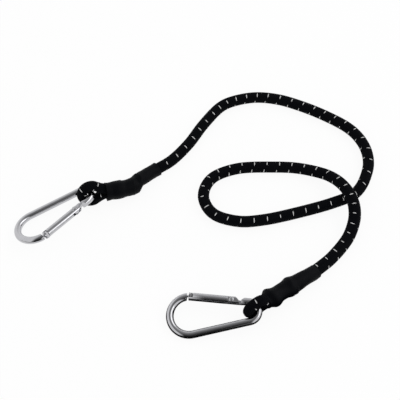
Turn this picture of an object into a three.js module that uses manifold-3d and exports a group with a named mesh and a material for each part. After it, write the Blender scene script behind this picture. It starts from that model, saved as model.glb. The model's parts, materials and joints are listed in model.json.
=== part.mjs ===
// Bungee cord: an elastic braided cord with a doubled-back eye at each end, and a snap hook in each eye.
// Millimetres, +Z up. The cord and both snap hooks lie on the plane z = 0.

import * as THREE from "three";
import { mergeVertices } from "three/addons/utils/BufferGeometryUtils.js";
import Module from "manifold-3d";

const wasm = await Module();
wasm.setup();

// Elastic cord
const CORD_DIAMETER = 10;
const BRAID_WALL = 0.9;
const CORE_GAP = 0.3;

// The cord is drawn thinner where it is stretched round the hook's bar
const EYE_CORD_DIAMETER = 9.2;
const EYE_GAP = 0.45;

// Bundle of the two strands behind the eye
const BUNDLE_RADIUS = 6.1;
const STRAND_OFFSET = 3.2;
const STRAND_GAP = 0.3;

// Steel band clips round the bundle
const CLIP_WIDTH = 4.5;
const CLIP_THICKNESS = 1;
const CLIP_SEAT = 0.25;
const CLIP_OPENING_ANGLE = 24;

// Shrunk sleeve over the bundle and the clips
const SLEEVE_WALL = 0.8;
const SLEEVE_GAP = 0.3;
const SLEEVE_RAMP = 1.4;

// Pieces that meet face to face stay this far apart
const FACE_GAP = 0.3;

// Snap hook, a pear-shaped ring of round bar with one straight gate
const HOOK_LENGTH = 80;
const HOOK_WIDE_RADIUS = 19.6;
const HOOK_NARROW_RADIUS = 11.6;
const BAR_DIAMETER = 6.4;
const NOSE_SETBACK = 4.3;
const NOSE_GAP = 0.9;

// Gate, a drilled round rod that turns on a rivet at the narrow end
const GATE_DIAMETER = 6.9;
const RIVET_PLACE = 33.3;
const FORK_REACH = 6.5;
const FORK_BEVEL = 3.9;
const CHEEK_WIDTH = 5.8;
const CHEEK_LENGTH = 9.5;

// Tongue of the bar, between the cheeks of the gate
const TONGUE_THICKNESS = 2.4;
const TONGUE_HEIGHT = 6.2;
const TONGUE_REACH = 3;
const TONGUE_CLEARANCE = 0.3;
const SHOULDER_GAP = 1.8;
const HINGE_RUN_CLEARANCE = 0.5;

// Rivet
const RIVET_DIAMETER = 2.8;
const RIVET_CLEARANCE = 0.15;
const RIVET_HEAD_DIAMETER = 4.4;
const RIVET_HEAD_HEIGHT = 0.6;

// Plunger and gate spring in the bore of the gate
const BORE_DIAMETER = 4;
const BORE_END = 21;
const PLUNGER_DIAMETER = 3.4;
const PLUNGER_HEAD_LENGTH = 3.7;
const PLUNGER_STEM_DIAMETER = 1.6;
const PLUNGER_STEM_LENGTH = 6;
const SPRING_DIAMETER = 3.4;
const SPRING_WIRE = 0.5;
const SPRING_TURNS = 8;

// Latch, a T-shaped head on the nose of the bar in a matching slot of the gate
const LATCH_LIP = 1.8;
const LATCH_CLEARANCE = 0.4;
const LATCH_HEAD_LENGTH = 1.9;
const LATCH_HEAD_WIDTH = 5.8;
const LATCH_HEAD_HEIGHT = 3.2;
const LATCH_HEAD_DROP = 0.8;
const LATCH_NECK_WIDTH = 2.2;

// Every cut and every joined piece runs this far past the face that it meets
const OVERRUN = 1;

// Left end, on the side of the wide bend's centre that lies at the left of the layout
const LEFT_HOOK_X = -113.36;
const LEFT_HOOK_Y = 18.59;
const LEFT_HOOK_HEADING = 36.7;
const LEFT_HOOK_PITCH = 3.4;
const LEFT_HOOK_ROLL = 18.4;
const LEFT_EYE_ANGLE = 18;
const LEFT_THROAT = 20;
const LEFT_MOUTH = 13;
const LEFT_FRONT_CLIP = 25;
const LEFT_REAR_CLIP = 37.7;
const LEFT_TAIL = 40.5;
const LEFT_TAIL_FADE = 6;
const LEFT_SLOPE = 5.5;

// Right end
const RIGHT_HOOK_X = 21.21;
const RIGHT_HOOK_Y = -66.66;
const RIGHT_HOOK_HEADING = 1.2;
const RIGHT_HOOK_PITCH = 5.9;
const RIGHT_HOOK_ROLL = 9.8;
const RIGHT_EYE_ANGLE = 31;
const RIGHT_THROAT = 12.5;
const RIGHT_MOUTH = 9.5;
const RIGHT_FRONT_CLIP = 16;
const RIGHT_REAR_CLIP = 36;
const RIGHT_TAIL = 39;
const RIGHT_TAIL_FADE = 16;
const RIGHT_SLOPE = 6.3;

// Route of the free cord from the left sleeve to the right one, chosen by hand
const CORD_ROUTE = [
  [-8.46, 81.34, 6.1],
  [3.84, 91.04, 5.3],
  [19.44, 109.94, 5.15],
  [32.94, 132.04, 5.15],
  [48.74, 152.54, 5.15],
  [58.84, 159.14, 5.15],
  [81.44, 164.74, 5.15],
  [104.04, 162.44, 5.15],
  [125.64, 154.44, 5.15],
  [146.04, 143.94, 5.15],
  [165.24, 131.14, 5.15],
  [173.54, 122.74, 5.15],
  [179.84, 112.24, 5.15],
  [183.44, 99.94, 5.15],
  [183.54, 86.64, 5.15],
  [179.94, 73.74, 5.15],
  [174.74, 62.74, 5.15],
  [167.24, 54.14, 5.15],
  [148.34, 45.24, 5.15],
  [117.14, 35.14, 5.15],
  [85.74, 27.34, 5.15],
  [64.64, 25.74, 5.15],
  [44.54, 31.74, 5.15],
  [36.64, 40.14, 5.15],
  [33.04, 51.94, 5.15],
  [35.74, 64.14, 5.15],
  [43.24, 73.54, 5.15],
  [63.74, 82.14, 5.15],
  [96.54, 83.94, 5.15],
  [118.34, 82.74, 5.15],
  [138.94, 75.54, 8],
  [148.14, 68.34, 11.6],
  [155.94, 58.64, 14.9],
  [161.64, 47.84, 15.9],
  [164.94, 37.44, 14.4],
  [165.24, 26.94, 11.3],
  [162.54, 16.94, 8],
  [157.74, 7.24, 5.8],
  [143.14, -11.06, 5.3],
  [128.54, -24.26, 6.1],
];

// Counts
const BAR_SIDES = 12;
const WIDE_STEPS = 14;
const NARROW_STEPS = 10;
const GATE_SIDES = 20;
const HOLE_SIDES = 12;
const CORD_SIDES = 10;
const CORE_SIDES = 8;
const CORD_STEPS = 58;
const LOOP_STEPS = 12;
const THROAT_STEPS = 3;
const SLEEVE_SIDES = 16;
const CLIP_STEPS = 18;
const COIL_STEPS = 8;
const COIL_SIDES = 5;

// Where along the run from the bundle to the sleeve's end the cord's sections stand, as shares of that run
const RUN_SHARES = [0.12, 0.25, 0.4, 0.55, 0.7, 0.85, 1];
// Reach of that run's two control points, as a share of its length
const RUN_REACH_SHARE = 0.25;

const rad = THREE.MathUtils.degToRad;
const vec = (x, y, z) => new THREE.Vector3(x, y, z);
const mix = THREE.MathUtils.lerp;
const square = (value) => value * value;

// Materials

const material = (color, roughness, metalness) =>
  new THREE.MeshStandardMaterial({ color, roughness, metalness });

const braidMaterial = () => material(0x121214, 0.9, 0);
const rubberMaterial = () => material(0x2a2622, 0.85, 0);
const sleeveMaterial = () => material(0x17181a, 0.45, 0);
const clipMaterial = () => material(0xa7aaad, 0.35, 1);
const hookMaterial = () => material(0xcfd1d4, 0.12, 1);
const steelMaterial = () => material(0xb4b6b9, 0.3, 1);

// Closed meshes from rings of points

function closedGeometry(positions, indices) {
  let volume = 0;
  const a = vec(0, 0, 0);
  const b = vec(0, 0, 0);
  const c = vec(0, 0, 0);
  for (let i = 0; i < indices.length; i += 3) {
    a.fromArray(positions, indices[i] * 3);
    b.fromArray(positions, indices[i + 1] * 3);
    c.fromArray(positions, indices[i + 2] * 3);
    volume += a.dot(b.cross(c));
  }
  if (volume < 0) indices.reverse();
  const geometry = new THREE.BufferGeometry();
  geometry.setAttribute("position", new THREE.Float32BufferAttribute(positions, 3));
  geometry.setIndex(indices);
  geometry.computeVertexNormals();
  return geometry;
}

function sideFaces(indices, rings, sides, first, flipped) {
  for (let ring = 0; ring + 1 < rings; ring += 1) {
    for (let side = 0; side < sides; side += 1) {
      const next = (side + 1) % sides;
      const a = first + ring * sides + side;
      const b = first + ring * sides + next;
      const c = first + (ring + 1) * sides + next;
      const d = first + (ring + 1) * sides + side;
      if (flipped) indices.push(a, c, b, a, d, c);
      else indices.push(a, b, c, a, c, d);
    }
  }
}

// A solid that runs through the rings, with a flat face on its first and last ring
function solidThrough(rings) {
  const sides = rings[0].length;
  const positions = rings.flat().flatMap((point) => point.toArray());
  const indices = [];
  sideFaces(indices, rings.length, sides, 0, false);
  const last = (rings.length - 1) * sides;
  for (let side = 1; side + 1 < sides; side += 1) {
    indices.push(0, side + 1, side);
    indices.push(last, last + side, last + side + 1);
  }
  return closedGeometry(positions, indices);
}

// A pipe between outer and inner rings, open at both ends
function pipeThrough(outer, inner) {
  const sides = outer[0].length;
  const positions = [...outer, ...inner].flat().flatMap((point) => point.toArray());
  const indices = [];
  const shift = outer.length * sides;
  sideFaces(indices, outer.length, sides, 0, false);
  sideFaces(indices, inner.length, sides, shift, true);
  for (const ring of [0, outer.length - 1]) {
    for (let side = 0; side < sides; side += 1) {
      const next = (side + 1) % sides;
      const a = ring * sides + side;
      const b = ring * sides + next;
      if (ring === 0) indices.push(a, a + shift, b + shift, a, b + shift, b);
      else indices.push(a, b + shift, a + shift, a, b, b + shift);
    }
  }
  return closedGeometry(positions, indices);
}

// Joins and cuts

function solidOf(geometry) {
  const bare = geometry.clone();
  bare.deleteAttribute("normal");
  bare.deleteAttribute("uv");
  const merged = mergeVertices(bare, 1e-4);
  return new wasm.Manifold(
    new wasm.Mesh({
      numProp: 3,
      vertProperties: new Float32Array(merged.attributes.position.array),
      triVerts: new Uint32Array(merged.index.array),
    }),
  );
}

function geometryOf(solid) {
  const mesh = solid.getMesh();
  const geometry = new THREE.BufferGeometry();
  geometry.setAttribute("position", new THREE.Float32BufferAttribute(mesh.vertProperties, 3));
  geometry.setIndex(Array.from(mesh.triVerts));
  geometry.computeVertexNormals();
  return geometry;
}

function mesh(name, geometry, look) {
  const piece = new THREE.Mesh(geometry, look);
  piece.name = name;
  return piece;
}

// A box between two corners
function boxBetween(x0, x1, y0, y1, z0, z1) {
  const box = new THREE.BoxGeometry(x1 - x0, y1 - y0, z1 - z0);
  box.translate((x0 + x1) / 2, (y0 + y1) / 2, (z0 + z1) / 2);
  return box;
}

// A round rod along x
function rodAlongX(radius, x0, x1, sides) {
  const rod = new THREE.CylinderGeometry(radius, radius, x1 - x0, sides);
  rod.rotateZ(-Math.PI / 2);
  rod.translate((x0 + x1) / 2, 0, 0);
  return rod;
}

// A round rod along z, centred on the origin
function rodAlongZ(radius, length, sides) {
  const rod = new THREE.CylinderGeometry(radius, radius, length, sides);
  rod.rotateX(Math.PI / 2);
  return rod;
}

// Snap hook. Its frame has the wide bend's centre as origin, x to the narrow end and y to the gate.

const barRadius = BAR_DIAMETER / 2;
const wideBend = HOOK_WIDE_RADIUS - barRadius;
const narrowBend = HOOK_NARROW_RADIUS - barRadius;
const bendDistance = HOOK_LENGTH - HOOK_WIDE_RADIUS - HOOK_NARROW_RADIUS;
const sideTilt = Math.asin((wideBend - narrowBend) / bendDistance);
const alongGate = vec(Math.cos(sideTilt), -Math.sin(sideTilt), 0);
const acrossGate = vec(Math.sin(sideTilt), Math.cos(sideTilt), 0);
const gateTangent = acrossGate.clone().multiplyScalar(wideBend);
const rivetPlace = gateTangent.clone().addScaledVector(alongGate, RIVET_PLACE);

// The gate's frame has the rivet as origin, x to the latch and y outward
const gateFrame = new THREE.Matrix4()
  .makeBasis(alongGate.clone().negate(), acrossGate, vec(0, 0, -1))
  .setPosition(rivetPlace);

const noseFace = RIVET_PLACE + NOSE_SETBACK;
const gateEnd = noseFace - NOSE_GAP;
const gateRadius = GATE_DIAMETER / 2;
const shoulder = -(FORK_REACH + SHOULDER_GAP);
const slotHalf = TONGUE_THICKNESS / 2 + TONGUE_CLEARANCE;
const hingeSlotEnd = Math.hypot(TONGUE_REACH, TONGUE_HEIGHT / 2) + HINGE_RUN_CLEARANCE;
const rivetHole = RIVET_DIAMETER / 2 + RIVET_CLEARANCE;
const latchWall = gateEnd - LATCH_LIP;
const latchHeadEnd = latchWall - LATCH_CLEARANCE;
const latchHeadStart = latchHeadEnd - LATCH_HEAD_LENGTH;
const latchSlotStart = latchHeadStart - LATCH_CLEARANCE;
const latchFloor = -(LATCH_HEAD_DROP + LATCH_CLEARANCE);

function circleRing(centre, first, second, radius, sides) {
  const ring = [];
  for (let side = 0; side < sides; side += 1) {
    const turn = (2 * Math.PI * side) / sides;
    ring.push(
      centre
        .clone()
        .addScaledVector(first, radius * Math.cos(turn))
        .addScaledVector(second, radius * Math.sin(turn)),
    );
  }
  return ring;
}

function bendRings(centre, bend, from, to, steps) {
  const rings = [];
  for (let step = 0; step <= steps; step += 1) {
    const turn = mix(from, to, step / steps);
    const out = vec(Math.cos(turn), Math.sin(turn), 0);
    const place = centre.clone().addScaledVector(out, bend);
    rings.push(circleRing(place, out, vec(0, 0, 1), barRadius, BAR_SIDES));
  }
  return rings;
}

function hookBodyGeometry() {
  const up = vec(0, 0, 1);
  const gateTurn = Math.PI / 2 - sideTilt;
  const noseTurn = gateTurn + Math.asin(NOSE_SETBACK / wideBend);
  const wide = bendRings(vec(0, 0, 0), wideBend, noseTurn, 2 * Math.PI - gateTurn, WIDE_STEPS);
  const nose = vec(Math.cos(noseTurn), Math.sin(noseTurn), 0).multiplyScalar(wideBend);
  wide[0] = circleRing(nose, acrossGate, up, barRadius, BAR_SIDES);
  const narrow = bendRings(vec(bendDistance, 0, 0), narrowBend, -gateTurn, gateTurn, NARROW_STEPS);
  const shoulderPlace = rivetPlace.clone().addScaledVector(alongGate, -shoulder);
  const end = circleRing(shoulderPlace, acrossGate, up, barRadius, BAR_SIDES);
  const bar = solidOf(solidThrough([...wide, ...narrow, end]));

  const tongueHalf = TONGUE_THICKNESS / 2;
  const tongue = boxBetween(
    shoulder - OVERRUN,
    TONGUE_REACH,
    -TONGUE_HEIGHT / 2,
    TONGUE_HEIGHT / 2,
    -tongueHalf,
    tongueHalf,
  );
  const hole = rodAlongZ(rivetHole, TONGUE_THICKNESS + OVERRUN, HOLE_SIDES);
  const headTop = LATCH_HEAD_HEIGHT - LATCH_HEAD_DROP;
  const head = boxBetween(
    latchHeadStart,
    latchHeadEnd,
    -LATCH_HEAD_DROP,
    headTop,
    -LATCH_HEAD_WIDTH / 2,
    LATCH_HEAD_WIDTH / 2,
  );
  const neck = boxBetween(
    latchHeadStart,
    noseFace + OVERRUN,
    -LATCH_HEAD_DROP,
    headTop,
    -LATCH_NECK_WIDTH / 2,
    LATCH_NECK_WIDTH / 2,
  );
  for (const piece of [tongue, hole, head, neck]) piece.applyMatrix4(gateFrame);
  const body = bar.add(solidOf(tongue)).subtract(solidOf(hole)).add(solidOf(head)).add(solidOf(neck));
  return geometryOf(body);
}

// Gate parts, in the gate's frame

function gateGeometry() {
  const far = gateRadius + OVERRUN;
  const cuts = [
    boxBetween(-(FORK_REACH + OVERRUN), hingeSlotEnd, -far, far, -slotHalf, slotHalf),
    rodAlongZ(rivetHole, 2 * far, HOLE_SIDES),
    rodAlongX(BORE_DIAMETER / 2, TONGUE_REACH - FACE_GAP, BORE_END, HOLE_SIDES),
    boxBetween(latchSlotStart, latchWall, latchFloor, far, -far, far),
    boxBetween(
      latchSlotStart,
      gateEnd + OVERRUN,
      latchFloor,
      far,
      -(LATCH_NECK_WIDTH / 2 + LATCH_CLEARANCE),
      LATCH_NECK_WIDTH / 2 + LATCH_CLEARANCE,
    ),
  ];
  const cheekEnd = CHEEK_LENGTH - FORK_REACH;
  for (const side of [-1, 1]) {
    const flat = boxBetween(-(FORK_REACH + OVERRUN), cheekEnd, -far, far, 0, far);
    flat.translate(0, 0, CHEEK_WIDTH / 2);
    if (side < 0) flat.rotateX(Math.PI);
    cuts.push(flat);
  }
  const bevel = boxBetween(-2 * FORK_BEVEL, 2 * FORK_BEVEL, 0, 2 * FORK_BEVEL, -far, far);
  bevel.rotateZ(Math.PI / 4);
  bevel.translate(-FORK_REACH + FORK_BEVEL / 2, gateRadius - FORK_BEVEL / 2, 0);
  cuts.push(bevel);
  let gate = solidOf(rodAlongX(gateRadius, -FORK_REACH, gateEnd, GATE_SIDES));
  for (const cut of cuts) gate = gate.subtract(solidOf(cut));
  return geometryOf(gate);
}

function rivetGeometry() {
  const seat = CHEEK_WIDTH / 2 + FACE_GAP;
  const top = seat + RIVET_HEAD_HEIGHT;
  const shank = RIVET_DIAMETER / 2;
  const head = RIVET_HEAD_DIAMETER / 2;
  const profile = [
    new THREE.Vector2(0, -top),
    new THREE.Vector2(head, -top),
    new THREE.Vector2(head, -seat),
    new THREE.Vector2(shank, -seat),
    new THREE.Vector2(shank, seat),
    new THREE.Vector2(head, seat),
    new THREE.Vector2(head, top),
    new THREE.Vector2(0, top),
  ];
  const rivet = new THREE.LatheGeometry(profile, HOLE_SIDES);
  rivet.rotateX(Math.PI / 2);
  return geometryOf(solidOf(rivet));
}

const plungerStart = TONGUE_REACH + FACE_GAP;
const plungerHeadEnd = plungerStart + PLUNGER_HEAD_LENGTH;

function plungerGeometry() {
  const head = rodAlongX(PLUNGER_DIAMETER / 2, plungerStart, plungerHeadEnd, HOLE_SIDES);
  const stem = rodAlongX(
    PLUNGER_STEM_DIAMETER / 2,
    plungerHeadEnd - OVERRUN,
    plungerHeadEnd + PLUNGER_STEM_LENGTH,
    CORE_SIDES,
  );
  return geometryOf(solidOf(head).add(solidOf(stem)));
}

const springStart = plungerHeadEnd + FACE_GAP;
const springLength = BORE_END - FACE_GAP - springStart;

function springGeometry() {
  const coilRadius = (SPRING_DIAMETER - SPRING_WIRE) / 2;
  const climb = springLength - SPRING_WIRE;
  const steps = SPRING_TURNS * COIL_STEPS;
  const rings = [];
  for (let step = 0; step <= steps; step += 1) {
    const turn = (2 * Math.PI * step) / COIL_STEPS;
    const out = vec(0, Math.cos(turn), Math.sin(turn));
    const round = vec(0, -Math.sin(turn), Math.cos(turn)).multiplyScalar(coilRadius);
    const forward = round.add(vec(climb / (2 * Math.PI * SPRING_TURNS), 0, 0)).normalize();
    const place = vec(springStart + SPRING_WIRE / 2 + (climb * step) / steps, 0, 0);
    place.addScaledVector(out, coilRadius);
    const across = out.clone().cross(forward);
    rings.push(circleRing(place, out, across, SPRING_WIRE / 2, COIL_SIDES));
  }
  return solidThrough(rings);
}

// Least gap between one turn of the spring and the next, over the points of the wire's centre line
function springLeastGap() {
  const coilRadius = (SPRING_DIAMETER - SPRING_WIRE) / 2;
  const climb = springLength - SPRING_WIRE;
  const samples = SPRING_TURNS * COIL_STEPS * 4;
  const points = [];
  for (let i = 0; i <= samples; i += 1) {
    const turn = (2 * Math.PI * SPRING_TURNS * i) / samples;
    points.push(vec((climb * i) / samples, coilRadius * Math.cos(turn), coilRadius * Math.sin(turn)));
  }
  let least = Infinity;
  const halfTurn = samples / SPRING_TURNS / 2;
  for (let i = 0; i < points.length; i += 1) {
    for (let j = i + halfTurn; j < points.length; j += 1) {
      least = Math.min(least, points[i].distanceTo(points[j]));
    }
  }
  return least - SPRING_WIRE;
}

// Elastic cord between the two sleeves

const cordRadius = CORD_DIAMETER / 2;
const coreInset = BRAID_WALL + CORE_GAP;
const cordCurve = new THREE.CatmullRomCurve3(CORD_ROUTE.map((point) => vec(...point)));

function circleOutline(radius, sides) {
  const outline = [];
  for (let side = 0; side < sides; side += 1) {
    const turn = (2 * Math.PI * (side + 1 / 2)) / sides;
    outline.push(new THREE.Vector2(radius * Math.cos(turn), radius * Math.sin(turn)));
  }
  return outline;
}

function alongCord(shape) {
  return new THREE.ExtrudeGeometry(shape, { steps: CORD_STEPS, extrudePath: cordCurve });
}

function cordBraidGeometry() {
  const shape = new THREE.Shape(circleOutline(cordRadius, CORD_SIDES));
  shape.holes.push(new THREE.Path(circleOutline(cordRadius - BRAID_WALL, CORD_SIDES).reverse()));
  return alongCord(shape);
}

function cordCoreGeometry() {
  return alongCord(new THREE.Shape(circleOutline(cordRadius - coreInset, CORE_SIDES)));
}

// Eye. Its frame has the ring's centre as origin, x along the bundle, y along the bar and z up.

const eyeRadius = EYE_CORD_DIAMETER / 2;
const loopRadius = barRadius + EYE_GAP + eyeRadius;

class EndAssembly {
  constructor(end) {
    this.end = end;
    this.hook = new THREE.Group();
    this.placeHook();
    this.eye = new THREE.Group();
    this.placeEye();
    const rise = loopRadius - STRAND_OFFSET;
    const drop = square(loopRadius) - square(STRAND_OFFSET);
    this.throatRadius = (square(end.throat) - drop) / (2 * rise);
    this.wrap = Math.acos((STRAND_OFFSET + this.throatRadius) / (loopRadius + this.throatRadius));
    this.run = this.runToSleeveEnd();
  }

  placeHook() {
    const { heading, pitch, roll, gateSide } = this.end;
    const along = vec(
      Math.cos(rad(heading)) * Math.cos(rad(pitch)),
      Math.sin(rad(heading)) * Math.cos(rad(pitch)),
      Math.sin(rad(pitch)),
    );
    const level = vec(-Math.sin(rad(heading)), Math.cos(rad(heading)), 0).multiplyScalar(gateSide);
    const lift = along.clone().cross(level).multiplyScalar(gateSide);
    const toGate = level.multiplyScalar(Math.cos(rad(roll))).addScaledVector(lift, Math.sin(rad(roll)));
    const frame = new THREE.Matrix4().makeBasis(along, toGate, along.clone().cross(toGate));
    const body = hookBodyGeometry().applyMatrix4(frame);
    body.computeBoundingBox();
    frame.setPosition(this.end.x, this.end.y, -body.boundingBox.min.z);
    this.hook.applyMatrix4(frame);
    this.hook.updateMatrixWorld(true);
    this.along = along;
    this.toGate = toGate;
  }

  placeEye() {
    const turn = rad(this.end.eyeAngle);
    const place = vec(
      bendDistance + narrowBend * Math.cos(turn),
      narrowBend * Math.sin(turn),
      0,
    );
    this.hook.localToWorld(place);
    const bar = this.along.clone().multiplyScalar(-Math.sin(turn));
    bar.addScaledVector(this.toGate, Math.cos(turn)).multiplyScalar(this.end.gateSide);
    const level = vec(bar.y, -bar.x, 0).normalize();
    const up = level.clone().cross(bar);
    const slope = rad(this.end.slope);
    const out = level.clone().multiplyScalar(Math.cos(slope)).addScaledVector(up, -Math.sin(slope));
    const frame = new THREE.Matrix4().makeBasis(out, bar, out.clone().cross(bar));
    frame.setPosition(place);
    this.eye.applyMatrix4(frame);
    this.eye.updateMatrixWorld(true);
  }

  // Curve of the standing strand from the end of the bundle to the end of the sleeve
  runToSleeveEnd() {
    const { cordEnd } = this.end;
    const tangent = cordCurve.getTangentAt(cordEnd);
    if (cordEnd === 0) tangent.negate();
    const target = cordCurve.getPointAt(cordEnd).addScaledVector(tangent, FACE_GAP);
    const inward = target.clone().add(tangent);
    this.eye.worldToLocal(target);
    this.eye.worldToLocal(inward);
    inward.sub(target).normalize();
    const start = vec(this.end.tail, 0, STRAND_OFFSET);
    const reach = start.distanceTo(target) * RUN_REACH_SHARE;
    return new THREE.CubicBezierCurve3(
      start,
      start.clone().add(vec(reach, 0, 0)),
      target.clone().addScaledVector(inward, reach),
      target,
    );
  }

  // How far the strand has gone from round (0) to half of the bundle (1)
  packing(place) {
    if (place.x <= 0) return 0;
    return (loopRadius - Math.abs(place.z)) / (loopRadius - STRAND_OFFSET);
  }

  throatStation(turn, side) {
    const place = vec(
      this.end.throat - this.throatRadius * Math.sin(turn),
      0,
      side * (STRAND_OFFSET + this.throatRadius - this.throatRadius * Math.cos(turn)),
    );
    const out = vec(Math.sin(turn), 0, side * Math.cos(turn));
    return { place, out, across: vec(0, 1, 0), packing: this.packing(place), radius: eyeRadius };
  }

  loopStation(turn) {
    const out = vec(Math.cos(turn), 0, Math.sin(turn));
    const place = out.clone().multiplyScalar(loopRadius);
    return { place, out, across: vec(0, 1, 0), packing: this.packing(place), radius: eyeRadius };
  }

  runStation(share) {
    const place = this.run.getPoint(share);
    const forward = this.run.getTangent(share);
    const out = vec(0, 0, 1);
    out.addScaledVector(forward, -out.dot(forward)).normalize();
    const gone = Math.min(1, (share * this.run.getLength()) / this.end.tailFade);
    return {
      place,
      out,
      across: out.clone().cross(forward),
      packing: 1 - THREE.MathUtils.smoothstep(gone, 0, 1),
      radius: mix(eyeRadius, cordRadius, share),
    };
  }

  // Sections of the cord from its tail, round the loop, to the end of the sleeve
  strandStations() {
    const stations = [];
    const straight = (x, side) => ({
      place: vec(x, 0, side * STRAND_OFFSET),
      out: vec(0, 0, side),
      across: vec(0, 1, 0),
      packing: 1,
      radius: eyeRadius,
    });
    stations.push(straight(this.end.tail, -1));
    for (let step = 0; step < THROAT_STEPS; step += 1) {
      stations.push(this.throatStation((this.wrap * step) / THROAT_STEPS, -1));
    }
    const from = -(Math.PI / 2 - this.wrap);
    const to = -2 * Math.PI - from;
    for (let step = 0; step <= LOOP_STEPS; step += 1) {
      stations.push(this.loopStation(mix(from, to, step / LOOP_STEPS)));
    }
    for (let step = THROAT_STEPS - 1; step >= 0; step -= 1) {
      stations.push(this.throatStation((this.wrap * step) / THROAT_STEPS, 1));
    }
    stations.push(straight(this.end.tail, 1));
    for (const share of RUN_SHARES) stations.push(this.runStation(share));
    return stations;
  }

  // Distance from the strand's centre to its skin, for a direction and a depth below the skin
  strandReach(turn, packing, radius, inset) {
    const round = radius - inset;
    const outer = BUNDLE_RADIUS - inset;
    const flat = STRAND_OFFSET - STRAND_GAP / 2 - inset;
    const lean = STRAND_OFFSET * Math.cos(turn);
    let half = -lean + Math.sqrt(square(lean) - square(STRAND_OFFSET) + square(outer));
    if (Math.cos(turn) < 0) half = Math.min(half, -flat / Math.cos(turn));
    return mix(round, half, packing);
  }

  strandRing(station, inset, turns) {
    return turns.map((turn) => {
      const reach = this.strandReach(turn, station.packing, station.radius, inset);
      return station.place
        .clone()
        .addScaledVector(station.out, reach * Math.cos(turn))
        .addScaledVector(station.across, reach * Math.sin(turn));
    });
  }

  eyeBraidGeometry() {
    const stations = this.strandStations();
    const outer = stations.map((station) => this.strandRing(station, 0, BRAID_TURNS));
    const inner = stations.map((station) => this.strandRing(station, BRAID_WALL, BRAID_TURNS));
    return pipeThrough(outer, inner);
  }

  eyeCoreGeometry() {
    return solidThrough(
      this.strandStations().map((station) => this.strandRing(station, coreInset, CORE_TURNS)),
    );
  }

  // Height of the strands' outer skin above the bundle's axis, at a place along it
  skinHeight(x) {
    if (x >= this.end.throat) return BUNDLE_RADIUS;
    const samples = [];
    const fine = LOOP_STEPS * LOOP_STEPS;
    for (let step = 0; step <= fine; step += 1) {
      samples.push(this.throatStation((this.wrap * step) / fine, 1));
    }
    for (let step = 0; step <= fine; step += 1) {
      samples.push(this.loopStation(mix(Math.PI / 2 - this.wrap, Math.PI / 2, step / fine)));
    }
    let height = BUNDLE_RADIUS;
    for (const station of samples) {
      const reach = this.strandReach(0, station.packing, station.radius, 0);
      const skin = station.place.clone().addScaledVector(station.out, reach);
      if (skin.x >= x) height = Math.max(height, skin.z);
    }
    return height;
  }

  // Depth of the strands' narrowing at a place along the bundle, from round (0) to halves of the bundle (1)
  packingAt(x) {
    if (x >= this.end.throat) return 1;
    const back = Math.min(this.end.throat - x, this.throatRadius * Math.sin(this.wrap));
    const height = STRAND_OFFSET + this.throatRadius - Math.sqrt(square(this.throatRadius) - square(back));
    return (loopRadius - height) / (loopRadius - STRAND_OFFSET);
  }

  clipPlaces() {
    return [this.end.frontClip, this.end.rearClip];
  }

  // Sections of the sleeve: round over the bundle, drawn out in height at its mouth
  sleeveStations() {
    const overClip = CLIP_SEAT + CLIP_THICKNESS;
    const half = CLIP_WIDTH / 2 + FACE_GAP;
    const [front, rear] = this.clipPlaces();
    const { mouth, tail } = this.end;
    const ramp = SLEEVE_RAMP;
    const marks = [
      [mouth, 0],
      [(mouth + front - half - ramp) / 2, 0],
      [front - half - ramp, 0],
      [front - half, overClip],
      [front + half, overClip],
      [front + half + ramp, 0],
      [rear - half - ramp, 0],
      [rear - half, overClip],
      [rear + half, overClip],
      [tail, overClip * Math.max(0, 1 - (tail - rear - half) / ramp)],
    ];
    const stations = marks.map(([x, over]) => {
      const packing = this.packingAt(x);
      const radius = mix(eyeRadius, BUNDLE_RADIUS, packing) + SLEEVE_GAP + over;
      const height = this.skinHeight(x) + SLEEVE_GAP + over;
      return {
        place: vec(x, 0, 0),
        out: vec(0, 0, 1),
        across: vec(0, 1, 0),
        radius,
        parting: Math.max(0, height - radius),
      };
    });
    for (const share of RUN_SHARES) {
      const strand = this.runStation(share);
      stations.push({
        place: strand.place.clone().addScaledVector(strand.out, -STRAND_OFFSET * strand.packing),
        out: strand.out,
        across: strand.across,
        radius: mix(strand.radius, BUNDLE_RADIUS, strand.packing) + SLEEVE_GAP,
        parting: 0,
      });
    }
    return stations;
  }

  sleeveRing(station, wall) {
    const ring = [];
    for (let side = 0; side < SLEEVE_SIDES; side += 1) {
      const turn = (2 * Math.PI * (side + 1 / 2)) / SLEEVE_SIDES;
      const rise = (station.radius + wall) * Math.cos(turn) + Math.sign(Math.cos(turn)) * station.parting;
      ring.push(
        station.place
          .clone()
          .addScaledVector(station.out, rise)
          .addScaledVector(station.across, (station.radius + wall) * Math.sin(turn)),
      );
    }
    return ring;
  }

  sleeveGeometry() {
    const stations = this.sleeveStations();
    const outer = stations.map((station) => this.sleeveRing(station, SLEEVE_WALL));
    const inner = stations.map((station) => this.sleeveRing(station, 0));
    return pipeThrough(outer, inner);
  }

  clipGeometry(x) {
    const inner = BUNDLE_RADIUS + CLIP_SEAT;
    const outer = inner + CLIP_THICKNESS;
    const half = rad(CLIP_OPENING_ANGLE) / 2;
    const outline = [];
    for (let step = 0; step <= CLIP_STEPS; step += 1) {
      const turn = mix(half, 2 * Math.PI - half, step / CLIP_STEPS);
      outline.push(new THREE.Vector2(outer * Math.cos(turn), outer * Math.sin(turn)));
    }
    for (let step = CLIP_STEPS; step >= 0; step -= 1) {
      const turn = mix(half, 2 * Math.PI - half, step / CLIP_STEPS);
      outline.push(new THREE.Vector2(inner * Math.cos(turn), inner * Math.sin(turn)));
    }
    const band = new THREE.ExtrudeGeometry(new THREE.Shape(outline), {
      steps: 1,
      depth: CLIP_WIDTH,
      bevelEnabled: false,
    });
    band.translate(0, 0, -CLIP_WIDTH / 2);
    band.rotateY(Math.PI / 2);
    band.translate(x, 0, 0);
    return band;
  }

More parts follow.
